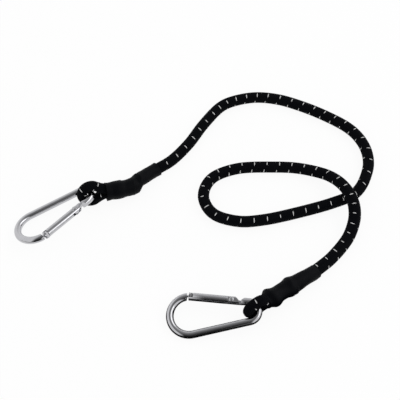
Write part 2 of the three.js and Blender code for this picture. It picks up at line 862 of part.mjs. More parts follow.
  hookPieces(prefix) {
    this.hook.add(mesh(`${prefix}_hook_body`, hookBodyGeometry(), hookMaterial()));
    const gate = new THREE.Group();
    gate.applyMatrix4(gateFrame);
    gate.add(mesh(`${prefix}_gate`, gateGeometry(), hookMaterial()));
    gate.add(mesh(`${prefix}_gate_rivet`, rivetGeometry(), steelMaterial()));
    gate.add(mesh(`${prefix}_gate_spring`, springGeometry(), steelMaterial()));
    gate.add(mesh(`${prefix}_gate_plunger`, plungerGeometry(), steelMaterial()));
    this.hook.add(gate);
    return this.hook;
  }

  eyePieces(prefix) {
    this.eye.add(mesh(`${prefix}_eye_braid`, this.eyeBraidGeometry(), braidMaterial()));
    this.eye.add(mesh(`${prefix}_eye_rubber`, this.eyeCoreGeometry(), rubberMaterial()));
    const [front, rear] = this.clipPlaces();
    this.eye.add(mesh(`${prefix}_clip_front`, this.clipGeometry(front), clipMaterial()));
    this.eye.add(mesh(`${prefix}_clip_rear`, this.clipGeometry(rear), clipMaterial()));
    this.eye.add(mesh(`${prefix}_shrink_sleeve`, this.sleeveGeometry(), sleeveMaterial()));
    return this.eye;
  }
}

// Directions of the section's corners; the strand's flat side has a corner at each end
function strandTurns(sides) {
  const flat = STRAND_OFFSET - STRAND_GAP / 2;
  const corner = Math.PI - Math.atan2(Math.sqrt(square(BUNDLE_RADIUS) - square(STRAND_GAP / 2)), flat);
  const half = sides / 2;
  const beforeCorner = Math.round((half * corner) / Math.PI);
  const turns = [];
  for (let step = 0; step <= half; step += 1) {
    const before = step <= beforeCorner;
    const afterShare = (step - beforeCorner) / (half - beforeCorner);
    turns.push(before ? (corner * step) / beforeCorner : mix(corner, Math.PI, afterShare));
  }
  for (let step = half - 1; step > 0; step -= 1) turns.push(-turns[step]);
  return turns;
}

const BRAID_TURNS = strandTurns(CORD_SIDES);
const CORE_TURNS = strandTurns(CORE_SIDES);

const leftEnd = new EndAssembly({
  x: LEFT_HOOK_X,
  y: LEFT_HOOK_Y,
  heading: LEFT_HOOK_HEADING,
  pitch: LEFT_HOOK_PITCH,
  roll: LEFT_HOOK_ROLL,
  gateSide: -1,
  eyeAngle: LEFT_EYE_ANGLE,
  throat: LEFT_THROAT,
  mouth: LEFT_MOUTH,
  frontClip: LEFT_FRONT_CLIP,
  rearClip: LEFT_REAR_CLIP,
  tail: LEFT_TAIL,
  tailFade: LEFT_TAIL_FADE,
  slope: LEFT_SLOPE,
  cordEnd: 0,
});

const rightEnd = new EndAssembly({
  x: RIGHT_HOOK_X,
  y: RIGHT_HOOK_Y,
  heading: RIGHT_HOOK_HEADING,
  pitch: RIGHT_HOOK_PITCH,
  roll: RIGHT_HOOK_ROLL,
  gateSide: 1,
  eyeAngle: RIGHT_EYE_ANGLE,
  throat: RIGHT_THROAT,
  mouth: RIGHT_MOUTH,
  frontClip: RIGHT_FRONT_CLIP,
  rearClip: RIGHT_REAR_CLIP,
  tail: RIGHT_TAIL,
  tailFade: RIGHT_TAIL_FADE,
  slope: RIGHT_SLOPE,
  cordEnd: 1,
});

const bungeeCord = new THREE.Group();
bungeeCord.add(mesh("cord_braid", cordBraidGeometry(), braidMaterial()));
bungeeCord.add(mesh("cord_rubber", cordCoreGeometry(), rubberMaterial()));
bungeeCord.add(leftEnd.hookPieces("left"), leftEnd.eyePieces("left"));
bungeeCord.add(rightEnd.hookPieces("right"), rightEnd.eyePieces("right"));

console.log(`gate spring, least gap between turns: ${springLeastGap().toFixed(2)} mm`);
console.log(`free cord length: ${cordCurve.getLength().toFixed(1)} mm`);

export default bungeeCord;
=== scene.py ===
"""Dresses a bungee cord: woven cord with light tracer floats, shrunk sleeves and polished snap hooks.

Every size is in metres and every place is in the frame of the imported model.
"""

import itertools
import json
import logging
import math
from bisect import bisect_left
from collections.abc import Callable
from dataclasses import dataclass, field
from enum import Enum
from functools import reduce

import bmesh
import bpy
from mathutils import Matrix, Vector, noise

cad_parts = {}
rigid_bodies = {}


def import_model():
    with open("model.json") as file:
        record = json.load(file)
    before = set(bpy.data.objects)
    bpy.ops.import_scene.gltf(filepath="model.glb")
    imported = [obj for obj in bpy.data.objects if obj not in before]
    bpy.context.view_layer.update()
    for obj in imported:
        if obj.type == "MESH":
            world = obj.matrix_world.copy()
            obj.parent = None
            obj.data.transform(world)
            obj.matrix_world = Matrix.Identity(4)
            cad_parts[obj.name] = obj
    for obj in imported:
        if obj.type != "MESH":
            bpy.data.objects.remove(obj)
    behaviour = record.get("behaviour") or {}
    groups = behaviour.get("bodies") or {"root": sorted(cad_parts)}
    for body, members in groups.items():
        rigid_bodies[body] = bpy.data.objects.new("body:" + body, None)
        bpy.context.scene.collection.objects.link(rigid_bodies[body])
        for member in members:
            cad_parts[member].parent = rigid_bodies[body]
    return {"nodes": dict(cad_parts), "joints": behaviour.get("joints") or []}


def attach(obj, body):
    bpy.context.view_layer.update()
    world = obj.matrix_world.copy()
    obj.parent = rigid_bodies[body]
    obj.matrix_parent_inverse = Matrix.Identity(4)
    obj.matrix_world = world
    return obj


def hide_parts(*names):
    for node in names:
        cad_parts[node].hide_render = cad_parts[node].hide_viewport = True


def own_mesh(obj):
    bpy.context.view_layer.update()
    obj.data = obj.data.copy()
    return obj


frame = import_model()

LOG = logging.getLogger("bungee")

TURN = 2.0 * math.pi
TINY = 1e-9
ALONG, ACROSS, UP = (Vector(row) for row in Matrix.Identity(3))
WHITE = (1.0, 1.0, 1.0, 1.0)
EIGHTH_TURN = math.pi / 4.0

# Layers of finer noise in a finish
COARSE, FINE, FINEST = 2.0, 3.0, 4.0

# Route of the free cord from the left sleeve to the right one. A script measured the cord's middle line
# on the photograph and set it on the floor, and these points were picked from that line and rounded.
CORD_ROUTE = [
    (-0.00846, 0.08134, 0.0061),
    (0.00384, 0.09104, 0.0053),
    (0.01944, 0.10994, 0.00515),
    (0.03294, 0.13204, 0.00515),
    (0.04874, 0.15254, 0.00515),
    (0.05884, 0.15914, 0.00515),
    (0.08144, 0.16474, 0.00515),
    (0.10404, 0.16244, 0.00515),
    (0.12564, 0.15444, 0.00515),
    (0.14604, 0.14394, 0.00515),
    (0.16524, 0.13114, 0.00515),
    (0.17354, 0.12274, 0.00515),
    (0.17984, 0.11224, 0.00515),
    (0.18344, 0.09994, 0.00515),
    (0.18354, 0.08664, 0.00515),
    (0.17994, 0.07374, 0.00515),
    (0.17474, 0.06274, 0.00515),
    (0.16724, 0.05414, 0.00515),
    (0.14834, 0.04524, 0.00515),
    (0.11714, 0.03514, 0.00515),
    (0.08574, 0.02734, 0.00515),
    (0.06464, 0.02574, 0.00515),
    (0.04454, 0.03174, 0.00515),
    (0.03664, 0.04014, 0.00515),
    (0.03304, 0.05194, 0.00515),
    (0.03574, 0.06414, 0.00515),
    (0.04324, 0.07354, 0.00515),
    (0.06374, 0.08214, 0.00515),
    (0.09654, 0.08394, 0.00515),
    (0.11834, 0.08274, 0.00515),
    (0.13894, 0.07554, 0.008),
    (0.14814, 0.06834, 0.0116),
    (0.15594, 0.05864, 0.0149),
    (0.16164, 0.04784, 0.0159),
    (0.16494, 0.03744, 0.0144),
    (0.16524, 0.02694, 0.0113),
    (0.16254, 0.01694, 0.008),
    (0.15774, 0.00724, 0.0058),
    (0.14314, -0.01106, 0.0053),
    (0.12854, -0.02426, 0.0061),
]

# Tracer yarn of the free cord: length along the cord, lays gone, turn of its first row. The lengths and
# turns follow flecks that scripts measured on the photograph.
TRACER_RUN = [
    (0.0088, 0.0, 0.070),
    (0.0459, 3.0, 0.053),
    (0.0802, 6.0, 0.070),
    (0.1094, 9.0, 0.049),
    (0.1410, 12.0, 0.025),
    (0.1643, 14.0, 0.008),
    (0.1870, 16.0, -0.002),
    (0.2085, 18.0, -0.011),
    (0.2307, 20.0, -0.026),
    (0.2423, 21.0, -0.036),
    (0.2671, 23.0, -0.055),
    (0.2942, 25.0, -0.067),
    (0.3193, 27.0, -0.074),
    (0.3433, 29.0, -0.076),
    (0.3667, 31.0, -0.075),
    (0.4018, 34.0, -0.068),
    (0.4244, 36.0, -0.062),
    (0.4462, 38.0, -0.055),
    (0.4674, 40.0, -0.048),
    (0.4884, 42.0, -0.040),
    (0.5224, 45.0, -0.017),
    (0.5564, 48.0, -0.006),
    (0.5796, 50.0, -0.013),
    (0.6044, 52.0, -0.026),
    (0.6242, 54.0, -0.020),
    (0.6411, 56.0, 0.011),
    (0.6607, 58.0, 0.028),
    (0.6834, 60.0, 0.041),
    (0.7066, 62.0, 0.049),
]

# Sleeves: place along the bundle, reach to the far side, reach to the near side. The reaches follow
# outlines that a script measured on the photograph.
LEFT_SLEEVE = [
    (0.0130, 0.00630, 0.00925),
    (0.0160, 0.00640, 0.00920),
    (0.0180, 0.00675, 0.00895),
    (0.0200, 0.00700, 0.00930),
    (0.0220, 0.00720, 0.00950),
    (0.0240, 0.00715, 0.00955),
    (0.0260, 0.00690, 0.00940),
    (0.0280, 0.00650, 0.00910),
    (0.0300, 0.00635, 0.00860),
    (0.0320, 0.00650, 0.00845),
    (0.0345, 0.00710, 0.00840),
    (0.0360, 0.00765, 0.00815),
    (0.0380, 0.00835, 0.00810),
    (0.0390, 0.00875, 0.00790),
    (0.0400, 0.00900, 0.00700),
    (0.0410, 0.00895, 0.00510),
    (0.0430, 0.00885, 0.00450),
    (0.0450, 0.00815, 0.00495),
    (0.0470, 0.00765, 0.00505),
    (0.0500, 0.00755, 0.00500),
    (0.0550, 0.00725, 0.00530),
    (0.0600, 0.00680, 0.00560),
    (0.0640, 0.00650, 0.00600),
    (0.0680, 0.00650, 0.00630),
]
RIGHT_SLEEVE = [
    (0.0095, 0.00670, 0.00650),
    (0.0105, 0.00740, 0.00660),
    (0.0120, 0.00865, 0.00700),
    (0.0132, 0.00920, 0.00750),
    (0.0142, 0.00905, 0.00810),
    (0.0152, 0.00870, 0.00860),
    (0.0162, 0.00830, 0.00900),
    (0.0172, 0.00795, 0.00910),
    (0.0182, 0.00775, 0.00895),
    (0.0200, 0.00750, 0.00840),
    (0.0220, 0.00750, 0.00745),
    (0.0240, 0.00755, 0.00680),
    (0.0260, 0.00780, 0.00650),
    (0.0280, 0.00795, 0.00660),
    (0.0300, 0.00810, 0.00695),
    (0.0320, 0.00840, 0.00750),
    (0.0335, 0.00895, 0.00780),
    (0.0350, 0.00945, 0.00785),
    (0.0362, 0.00930, 0.00755),
    (0.0380, 0.00870, 0.00695),
    (0.0400, 0.00830, 0.00685),
    (0.0425, 0.00800, 0.00678),
    (0.0445, 0.00775, 0.00660),
    (0.0485, 0.00720, 0.00635),
    (0.0505, 0.00695, 0.00625),
    (0.0555, 0.00640, 0.00640),
    (0.0605, 0.00630, 0.00660),
    (0.0635, 0.00610, 0.00645),
]

# Dark sweep over and in front of the cord: degrees up from the front, brightness
SWEEP_TONES = [
    (163.0, 0.90),
    (140.0, 0.68),
    (120.0, 0.48),
    (105.0, 0.33),
    (90.0, 0.27),
    (75.0, 0.19),
    (60.0, 0.12),
    (50.0, 0.09),
    (40.0, 0.06),
    (28.0, 0.032),
    (8.0, 0.010),
    (0.0, 0.008),
]

# How far the sweep has gone to white: place from left to right, share
SWEEP_SIDES = [
    (-0.65, 1.0),
    (-0.35, 0.0),
    (0.17, 0.0),
    (0.20, 0.10),
    (0.31, 0.35),
    (0.42, 0.90),
]


def blend(first: float, last: float, share: float) -> float:
    """Returns the value at a share of the way from first to last."""
    return first + (last - first) * share


def spread(first: float, last: float, steps: int) -> list[float]:
    """Returns values from first to last in a number of even steps."""
    return [blend(first, last, step / steps) for step in range(steps + 1)]


def eased(value: float, low: float, high: float) -> float:
    """Returns a share that rises from 0 at low to 1 at high and is level at both ends."""
    share = min(1.0, max(0.0, (value - low) / (high - low)))
    return share * share * (3.0 - 2.0 * share)


def reached(column: list[float], value: float) -> tuple[int, float]:
    """Returns the last step before a value in a rising column, and the share gone to the next step."""
    index = min(max(bisect_left(column, value) - 1, 0), len(column) - 2)
    return index, (value - column[index]) / (column[index + 1] - column[index])


def traced(rows: list[tuple[float, ...]], place: float, read: int = 0, give: int = 1) -> float:
    """Returns a value of one column, between two rows of a table that rises in the column that is read."""
    index, share = reached([row[read] for row in rows], place)
    return blend(rows[index][give], rows[index + 1][give], share)


def lengths_gone(places: list[Vector]) -> list[float]:
    """Returns the length gone at every point of a line."""
    steps = [(after - before).length for before, after in zip(places, places[1:])]
    return list(itertools.accumulate(steps, initial=0.0))


def swung(out: Vector, forward: Vector, turns: float) -> Vector:
    """Returns a direction swung round a line by a number of turns."""
    angle = TURN * turns
    return out * math.cos(angle) + forward.cross(out) * math.sin(angle)


def level_ray(angle: float) -> Vector:
    """Returns the level direction at an angle in radians."""
    return Vector((math.cos(angle), math.sin(angle), 0.0))


class Side(Enum):
    """End of the cord that an assembly belongs to."""

    LEFT = "left"
    RIGHT = "right"


class Blank(Enum):
    """Way in which one solid is worked into another."""

    JOIN = "UNION"
    CUT = "DIFFERENCE"


# Sockets and nodes


class Socket:
    """Output socket of a node, for use in plain arithmetic."""

    def __init__(self, nodes: "Nodes", socket: bpy.types.NodeSocket) -> None:
        """Keeps the node tree and the socket."""
        self.nodes = nodes
        self.socket = socket

    def math(self, operation: str, *others: "Socket | float", first: bool = True) -> "Socket":
        """Returns the result of a Math node, with this socket as its first operand or its last."""
        operands = (self, *others) if first else (*others, self)
        return self.nodes.add("ShaderNodeMath", {"operation": operation}, dict(enumerate(operands)))

    def __add__(self, other: "Socket | float") -> "Socket":
        """Returns the sum."""
        return self.math("ADD", other)

    __radd__ = __add__

    def __mul__(self, other: "Socket | float") -> "Socket":
        """Returns the product."""
        return self.math("MULTIPLY", other)

    __rmul__ = __mul__

    def __sub__(self, other: "Socket | float") -> "Socket":
        """Returns the difference."""
        return self.math("SUBTRACT", other)

    def __rsub__(self, other: "Socket | float") -> "Socket":
        """Returns the difference from a number."""
        return self.math("SUBTRACT", other, first=False)

    def __truediv__(self, other: "Socket | float") -> "Socket":
        """Returns the quotient."""
        return self.math("DIVIDE", other)

    def below(self, other: "Socket | float") -> "Socket":
        """Returns 1 where the value is less than the other."""
        return self.math("LESS_THAN", other)

    def floor(self) -> "Socket":
        """Returns the whole part."""
        return self.math("FLOOR")

    def wrapped(self, length: float) -> "Socket":
        """Returns the remainder from 0 to the length."""
        return self.math("FLOORED_MODULO", length)

    def arch(self) -> "Socket":
        """Returns a hump that is 0 at 0 and 1, and 1 halfway."""
        return self * (1.0 - self) * 4.0


def weighed(values: tuple[Socket, ...], shares: tuple[float, ...]) -> Socket:
    """Returns the sum of values, each times its share."""
    return reduce(Socket.__add__, (value * share for value, share in zip(values, shares)))


class Nodes:
    """Node tree that is built from plain expressions."""

    def __init__(self, tree: bpy.types.NodeTree) -> None:
        """Keeps the tree."""
        self.tree = tree

    def add(
        self,
        kind: str,
        settings: dict[str, object] | None = None,
        inputs: dict[int | str, object] | None = None,
        output: int | str = 0,
    ) -> Socket:
        """Adds a node.

        Args:
            kind: Type of the node.
            settings: Properties that are set first.
            inputs: Values or links of its sockets, by number or name.
            output: Number or name of the result.

        Returns:
            The result's socket.
        """
        node = self.tree.nodes.new(kind)
        for name, value in (settings or {}).items():
            setattr(node, name, value)
        for key, value in (inputs or {}).items():
            self.feed(node.inputs[key], value)
        return Socket(self, node.outputs[output])

    def feed(self, target: bpy.types.NodeSocket, value: object) -> None:
        """Links a socket or sets its value.

        Args:
            target: Input socket.
            value: A Socket to link, or a plain value.
        """
        if isinstance(value, Socket):
            self.tree.links.new(value.socket, target)
        else:
            target.default_value = value

    def parts(self, vector: Socket) -> list[Socket]:
        """Returns the three parts of a vector."""
        node = self.add("ShaderNodeSeparateXYZ", {}, {0: vector}).socket.node
        return [Socket(self, output) for output in node.outputs]

    def seen_rays(self) -> Socket:
        """Tells which rays end in the picture.

        Returns:
            1 for rays from the camera, or by way of metal or glass.
        """
        path = self.add("ShaderNodeLightPath").socket.node.outputs
        kinds = ("Camera", "Glossy", "Transmission")
        camera, gloss, glass = (Socket(self, path[f"Is {kind} Ray"]) for kind in kinds)
        return camera.math("MAXIMUM", gloss).math("MAXIMUM", glass)


class Shade(Nodes):
    """Node tree of one material, with a Principled shader at its end."""

    def __init__(self, name: str) -> None:
        """Makes the material.

        Args:
            name: Name of the material.
        """
        self.material = bpy.data.materials.new(name)
        self.material.use_nodes = True
        super().__init__(self.material.node_tree)
        self.shader = self.tree.nodes["Principled BSDF"]

    def finish(self, **values: object) -> bpy.types.Material:
        """Feeds the shader.

        Args:
            values: Values or links of the shader's sockets, with underscores for spaces.

        Returns:
            The finished material.
        """
        for name, value in values.items():
            self.feed(self.shader.inputs[name.replace("_", " ")], value)
        return self.material

    def ended(self, shader: Socket) -> bpy.types.Material:
        """Puts another shader at the end and returns the finished material."""
        self.feed(self.tree.nodes["Material Output"].inputs["Surface"], shader)
        return self.material

    def glow(self, strength: Socket | float) -> Socket:
        """Returns a white light of its own."""
        return self.add("ShaderNodeEmission", {}, {"Color": WHITE, "Strength": strength})

    def place(self) -> Socket:
        """Returns the point of the surface in the object's own coordinates."""
        return self.add("ShaderNodeTexCoord", output="Object")

    def weave_place(self) -> list[Socket]:
        """Returns the turns around the cord and the lays along it, from the piece's own map."""
        return self.parts(self.add("ShaderNodeUVMap", {"uv_map": "weave"}))[:2]

    def speckle(self, place: Socket, scale: float, detail: float = COARSE) -> Socket:
        """Returns noise around one half, of a number of blobs to the metre and of finer layers."""
        inputs = {"Vector": place, "Scale": scale, "Detail": detail}
        return self.add("ShaderNodeTexNoise", {"noise_dimensions": "3D"}, inputs)

    def mixed(self, share: Socket, low: tuple[float, ...], high: tuple[float, ...]) -> Socket:
        """Returns a mix of two colours by the share of the second."""
        inputs = {0: share, 6: (*low, 1.0), 7: (*high, 1.0)}
        return self.add("ShaderNodeMix", {"data_type": "RGBA"}, inputs, output=2)

    def bump(self, height: Socket, distance: float, strength: float = 1.0) -> Socket:
        """Returns the normal of a relief, from its height from 0 to 1 and its depth in metres."""
        return self.add("ShaderNodeBump", {}, {"Height": height, "Distance": distance, "Strength": strength})


# Finishes


@dataclass(frozen=True)
class BraidFinish:
    """Near-black yarns braided over two and under two, eight to a side, with painted shade where each yarn
    dips under the others.
    """

    yarns: int = 8
    float_crossings: int = 2
    float_arch: float = 0.45
    relief: float = 0.00022
    # Colours of the painted shade where the yarns dip and of their lit crowns
    dark: tuple[float, float, float] = (0.0003, 0.0004, 0.0008)
    lit: tuple[float, float, float] = (0.0022, 0.0025, 0.0041)
    filaments: float = 7.0
    fuzz: float = 2600.0
    # Shares in the base colour of the yarn height, which paints shade where a yarn dips, of the filament
    # stripes and of the fuzz
    tone_shares: tuple[float, ...] = (0.62, 0.16, 0.34)
    relief_shares: tuple[float, ...] = (0.84, 0.06, 0.1)
    roughness: float = 0.96
    crown_shine: float = 0.16

    def make(self, name: str) -> bpy.types.Material:
        """Makes the material of a braided cord.

        Args:
            name: Name of the material.

        Returns:
            The material.
        """
        shade = Shade(name)
        turn, lay = shade.weave_place()
        first = (turn + lay) * float(self.yarns)
        second = (turn - lay) * float(self.yarns)
        crossing = 2.0 * self.float_crossings
        above = (first.floor() + second.floor()).wrapped(crossing).below(self.float_crossings)
        over = self.float_height(first, second, 0.0)
        under = self.float_height(second, first, float(self.float_crossings))
        height = over * above + under * (1.0 - above)
        across = first.wrapped(1.0) * above + second.wrapped(1.0) * (1.0 - above)
        strands = (across * (self.filaments * TURN)).math("SINE") * 0.5 + 0.5
        fuzz = shade.speckle(shade.place(), self.fuzz, FINE)
        layers = (height, strands, fuzz)
        # Base colour is darker where a yarn dips under the others and lighter on its crown: painted shade
        # between the yarns
        return shade.finish(
            Base_Color=shade.mixed(weighed(layers, self.tone_shares), self.dark, self.lit),
            Roughness=self.roughness - height * self.crown_shine,
            Normal=shade.bump(weighed(layers, self.relief_shares), self.relief),
            Specular_IOR_Level=0.05,
            Sheen_Weight=0.006,
            Sheen_Roughness=0.5,
        )

    def float_height(self, along: Socket, across: Socket, start: float) -> Socket:
        """Gives the height of the yarns of one direction.

        Args:
            along: Count of yarns of this direction.
            across: Count of yarns of the other direction, which runs along this yarn.
            start: Crossing at which this direction comes to the top.

        Returns:
            The height of a yarn that arches over the yarns below it.
        """
        span = float(self.float_crossings)
        gone = (along.floor() + across - start).wrapped(2.0 * span) / span
        crown = along.wrapped(1.0).arch().math("SQRT")
        arch = gone.math("MINIMUM", 1.0).arch()
        return crown * (arch * self.float_arch + (1.0 - self.float_arch))


@dataclass(frozen=True)
class TracerFinish:
    """Light reflective yarn that comes to the top of the braid in short floats."""

    dull: tuple[float, float, float] = (0.32, 0.32, 0.32)
    bright: tuple[float, float, float] = (0.78, 0.78, 0.77)
    fuzz: float = 1900.0
    wear: float = 160.0
    tone_shares: tuple[float, ...] = (0.5, 0.9)
    tone_drop: float = 0.1
    roughness: float = 0.5
    fuzz_roughness: float = 0.3
    relief: float = 0.00008

    def make(self, name: str) -> bpy.types.Material:
        """Makes the material of the tracer floats.

        Args:
            name: Name of the material.

        Returns:
            The material.
        """
        shade = Shade(name)
        place = shade.place()
        fuzz = shade.speckle(place, self.fuzz)
        wear = shade.speckle(place, self.wear)
        tone = (weighed((fuzz, wear), self.tone_shares) - self.tone_drop).math("MINIMUM", 1.0)
        return shade.finish(
            Base_Color=shade.mixed(tone, self.dull, self.bright),
            Roughness=self.roughness + fuzz * self.fuzz_roughness,
            Normal=shade.bump(fuzz, self.relief),
            Specular_IOR_Level=0.4,
            Sheen_Weight=0.1,
        )


@dataclass(frozen=True)
class RubberFinish:
    """Grey-brown rubber of the core, drawn into fine strands, with painted shade in the grooves between them.
    """

    strands: float = 18.0
    # Colours of the painted shade in the grooves and of the lit strand crowns
    dark: tuple[float, float, float] = (0.012, 0.010, 0.008)
    lit: tuple[float, float, float] = (0.045, 0.037, 0.030)
    twist: float = 0.02
    bloom: float = 700.0
    # Shares in the base colour of the strand height, which paints shade in the grooves, and of the bloom
    tone_shares: tuple[float, ...] = (0.6, 0.4)
    roughness: float = 0.62
    bloom_roughness: float = 0.3
    relief: float = 0.0002

    def make(self, name: str) -> bpy.types.Material:
        """Makes the material of the rubber core.

        Args:
            name: Name of the material.

        Returns:
            The material.
        """
        shade = Shade(name)
        turn, lay = shade.weave_place()
        groove = ((turn + lay * self.twist) * self.strands).wrapped(1.0).arch().math("SQRT")
        bloom = shade.speckle(shade.place(), self.bloom, FINE)
        # Base colour is darker in the grooves between the strands and lighter on their crowns: painted shade
        return shade.finish(
            Base_Color=shade.mixed(weighed((groove, bloom), self.tone_shares), self.dark, self.lit),
            Roughness=self.roughness + bloom * self.bloom_roughness,
            Normal=shade.bump(groove, self.relief),
            Specular_IOR_Level=0.3,
        )


@dataclass(frozen=True)
class SleeveFinish:
    """Satin near-black shrunk sleeve, with faint print-through of what lies below."""

    dark: tuple[float, float, float] = (0.0004, 0.0006, 0.0013)
    lit: tuple[float, float, float] = (0.0016, 0.0020, 0.0038)
    mottle: float = 420.0
    grain: float = 5200.0
    tone_shares: tuple[float, ...] = (0.7, 0.3)
    relief_shares: tuple[float, ...] = (0.25, 0.5, 0.25)
    relief_strength: float = 0.7
    roughness: float = 0.4
    mottle_roughness: float = 0.16
    grain_roughness: float = 0.1
    relief: float = 0.00012

    def make(self, name: str) -> bpy.types.Material:
        """Makes the material of the sleeves.

        Args:
            name: Name of the material.

        Returns:
            The material.
        """
        shade = Shade(name)
        place = shade.place()
        turn, lay = shade.weave_place()
        yarns = float(BraidFinish.yarns)
        below = ((turn + lay) * yarns).wrapped(1.0).arch() * ((turn - lay) * yarns).wrapped(1.0).arch()
        mottle = shade.speckle(place, self.mottle, FINE)
        grain = shade.speckle(place, self.grain)
        relief = weighed((below, mottle, grain), self.relief_shares)
        return shade.finish(
            Base_Color=shade.mixed(weighed((mottle, grain), self.tone_shares), self.dark, self.lit),
            Roughness=self.roughness + mottle * self.mottle_roughness + grain * self.grain_roughness,
            Normal=shade.bump(relief, self.relief, self.relief_strength),
            Specular_IOR_Level=0.07,
        )


@dataclass(frozen=True)
class PolishedFinish:
    """Bright plated steel with fine handling scratches and a slightly uneven polish."""

    dull: tuple[float, float, float] = (0.44, 0.44, 0.46)
    bright: tuple[float, float, float] = (0.58, 0.58, 0.60)
    roughness: float = 0.05
    scratches: float = 2700.0
    scratch_width: float = 0.012
    cloud: float = 240.0
    peel: float = 520.0
    tone_shares: tuple[float, ...] = (0.8, 0.2)
    relief_shares: tuple[float, ...] = (0.7, 0.3)
    cloud_roughness: float = 0.05
    scratch_roughness: float = 0.12
    drawn: tuple[float, float, float] = (0.12, 1.0, 1.0)
    relief: float = 0.000012

    def make(self, name: str) -> bpy.types.Material:
        """Makes the material of a polished metal piece.

        Args:
            name: Name of the material.

        Returns:
            The material.
        """
        shade = Shade(name)
        place = shade.place()
        cloud = shade.speckle(place, self.cloud, FINE)
        drawn = shade.add("ShaderNodeMapping", {}, {"Vector": place, "Scale": self.drawn})
        lines = shade.speckle(drawn, self.scratches, FINEST)
        scratch = (lines - 0.5).math("ABSOLUTE").below(self.scratch_width)
        peel = shade.speckle(place, self.peel, 1.0)
        return shade.finish(
            Base_Color=shade.mixed(weighed((cloud, lines), self.tone_shares), self.dull, self.bright),
            Metallic=1.0,
            Roughness=self.roughness + cloud * self.cloud_roughness + scratch * self.scratch_roughness,
            Normal=shade.bump(weighed((peel, lines), self.relief_shares), self.relief),
        )


@dataclass(frozen=True)
class TurnedFinish:
    """Satin steel with fine rings from turning or drawing."""

    dull: tuple[float, float, float] = (0.34, 0.34, 0.35)
    bright: tuple[float, float, float] = (0.56, 0.56, 0.58)
    cloud: float = 600.0
    rings: float = 4200.0
    tone_shares: tuple[float, ...] = (0.6, 0.4)
    roughness: float = 0.24
    cloud_roughness: float = 0.12
    ring_roughness: float = 0.08
    relief: float = 0.00002

    def make(self, name: str) -> bpy.types.Material:
        """Makes the material of a small turned or pressed steel piece.

        Args:
            name: Name of the material.

        Returns:
            The material.
        """
        shade = Shade(name)
        place = shade.place()
        cloud = shade.speckle(place, self.cloud, FINE)
        rings = shade.speckle(place, self.rings)
        return shade.finish(
            Base_Color=shade.mixed(weighed((cloud, rings), self.tone_shares), self.dull, self.bright),
            Metallic=1.0,
            Roughness=self.roughness + cloud * self.cloud_roughness + rings * self.ring_roughness,
            Normal=shade.bump(rings, self.relief),
        )


class Finishes:
    """Every finish of the object, made once."""

    def __init__(self) -> None:
        """Makes the materials."""
        self.braid = BraidFinish().make("cord_braid")
        self.tracer = TracerFinish().make("tracer_yarn")
        self.rubber = RubberFinish().make("core_rubber")
        self.sleeve = SleeveFinish().make("shrunk_sleeve")
        self.hook = PolishedFinish().make("hook_metal")
        self.gate = PolishedFinish(roughness=0.07, scratches=3900.0).make("gate_metal")
        self.steel = TurnedFinish().make("turned_steel")
        self.clip = TurnedFinish(dull=(0.42, 0.42, 0.43), bright=(0.62, 0.62, 0.64)).make("clip_steel")


# Meshes


def link(name: str, data: bpy.types.ID) -> bpy.types.Object:
    """Puts a mesh, a camera or a lamp into the scene as an object at the origin.

    Args:
        name: Name of the object and its data.
        data: Its data.

    Returns:
        The new object.
    """
    data.name = name
    piece = bpy.data.objects.new(name, data)
    bpy.context.scene.collection.objects.link(piece)
    return piece


def closed(
    name: str, points: list[Vector], faces: list[list[int]], places: list[float] | None = None
) -> bpy.types.Object:
    """Makes a closed piece with its faces turned outwards.

    Args:
        name: Name of the piece.
        points: Its points.
        faces: Its faces.
        places: Turn and lay of each corner of each face, for the map of woven finishes.

    Returns:
        The new object.
    """
    mesh = bpy.data.meshes.new(name)
    mesh.from_pydata(points, [], faces)
    if places:
        mesh.uv_layers.new(name="weave").data.foreach_set("uv", places)
    work = bmesh.new()
    work.from_mesh(mesh)
    bmesh.ops.recalc_face_normals(work, faces=work.faces)
    work.to_mesh(mesh)
    work.free()
    return link(name, mesh)


def plain(piece: bpy.types.Object) -> None:
    """Applies the modifiers of a piece, so that it keeps the evaluated mesh alone.

    Args:
        piece: Object with live modifiers.
    """
    depsgraph = bpy.context.evaluated_depsgraph_get()
    depsgraph.update()
    mesh = bpy.data.meshes.new_from_object(piece.evaluated_get(depsgraph))
    piece.modifiers.clear()
    piece.data = mesh
    mesh.name = piece.name


def smooth(piece: bpy.types.Object, angle: float) -> None:
    """Shades a piece smooth, apart from edges sharper than an angle in degrees."""
    piece.data.polygons.foreach_set("use_smooth", [True] * len(piece.data.polygons))
    piece.data.set_sharp_from_angle(angle=math.radians(angle))


def dress_node(name: str, finish: bpy.types.Material) -> None:
    """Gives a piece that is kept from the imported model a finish."""
    for slot in frame["nodes"][name].material_slots:
        slot.material = finish


def joint(name: str) -> dict[str, object]:
    """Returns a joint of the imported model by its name."""
    return next(row for row in frame["joints"] if row["name"] == name)


def even_turns(sides: int) -> list[float]:
    """Returns the turns of a ring with even sides."""
    return [side / sides for side in range(sides)]


def circle(place: Vector, out: Vector, across: Vector, radius: float, turns: list[float]) -> list[Vector]:
    """Returns the points of a round section at turns from its outward direction to its sideways one."""
    angles = [TURN * turn for turn in turns]
    return [place + out * (radius * math.cos(a)) + across * (radius * math.sin(a)) for a in angles]


def band(first: int, second: int, sides: int) -> list[list[int]]:
    """Returns the faces between two rings of points, by the number of each ring's first point."""
    after = [(side + 1) % sides for side in range(sides)]
    return [[first + side, first + after[side], second + after[side], second + side] for side in range(sides)]


@dataclass
class Ring:
    """One section of a tube, with its place on the map of woven finishes."""

    points: list[Vector]
    lay: float = 0.0
    shift: float = 0.0


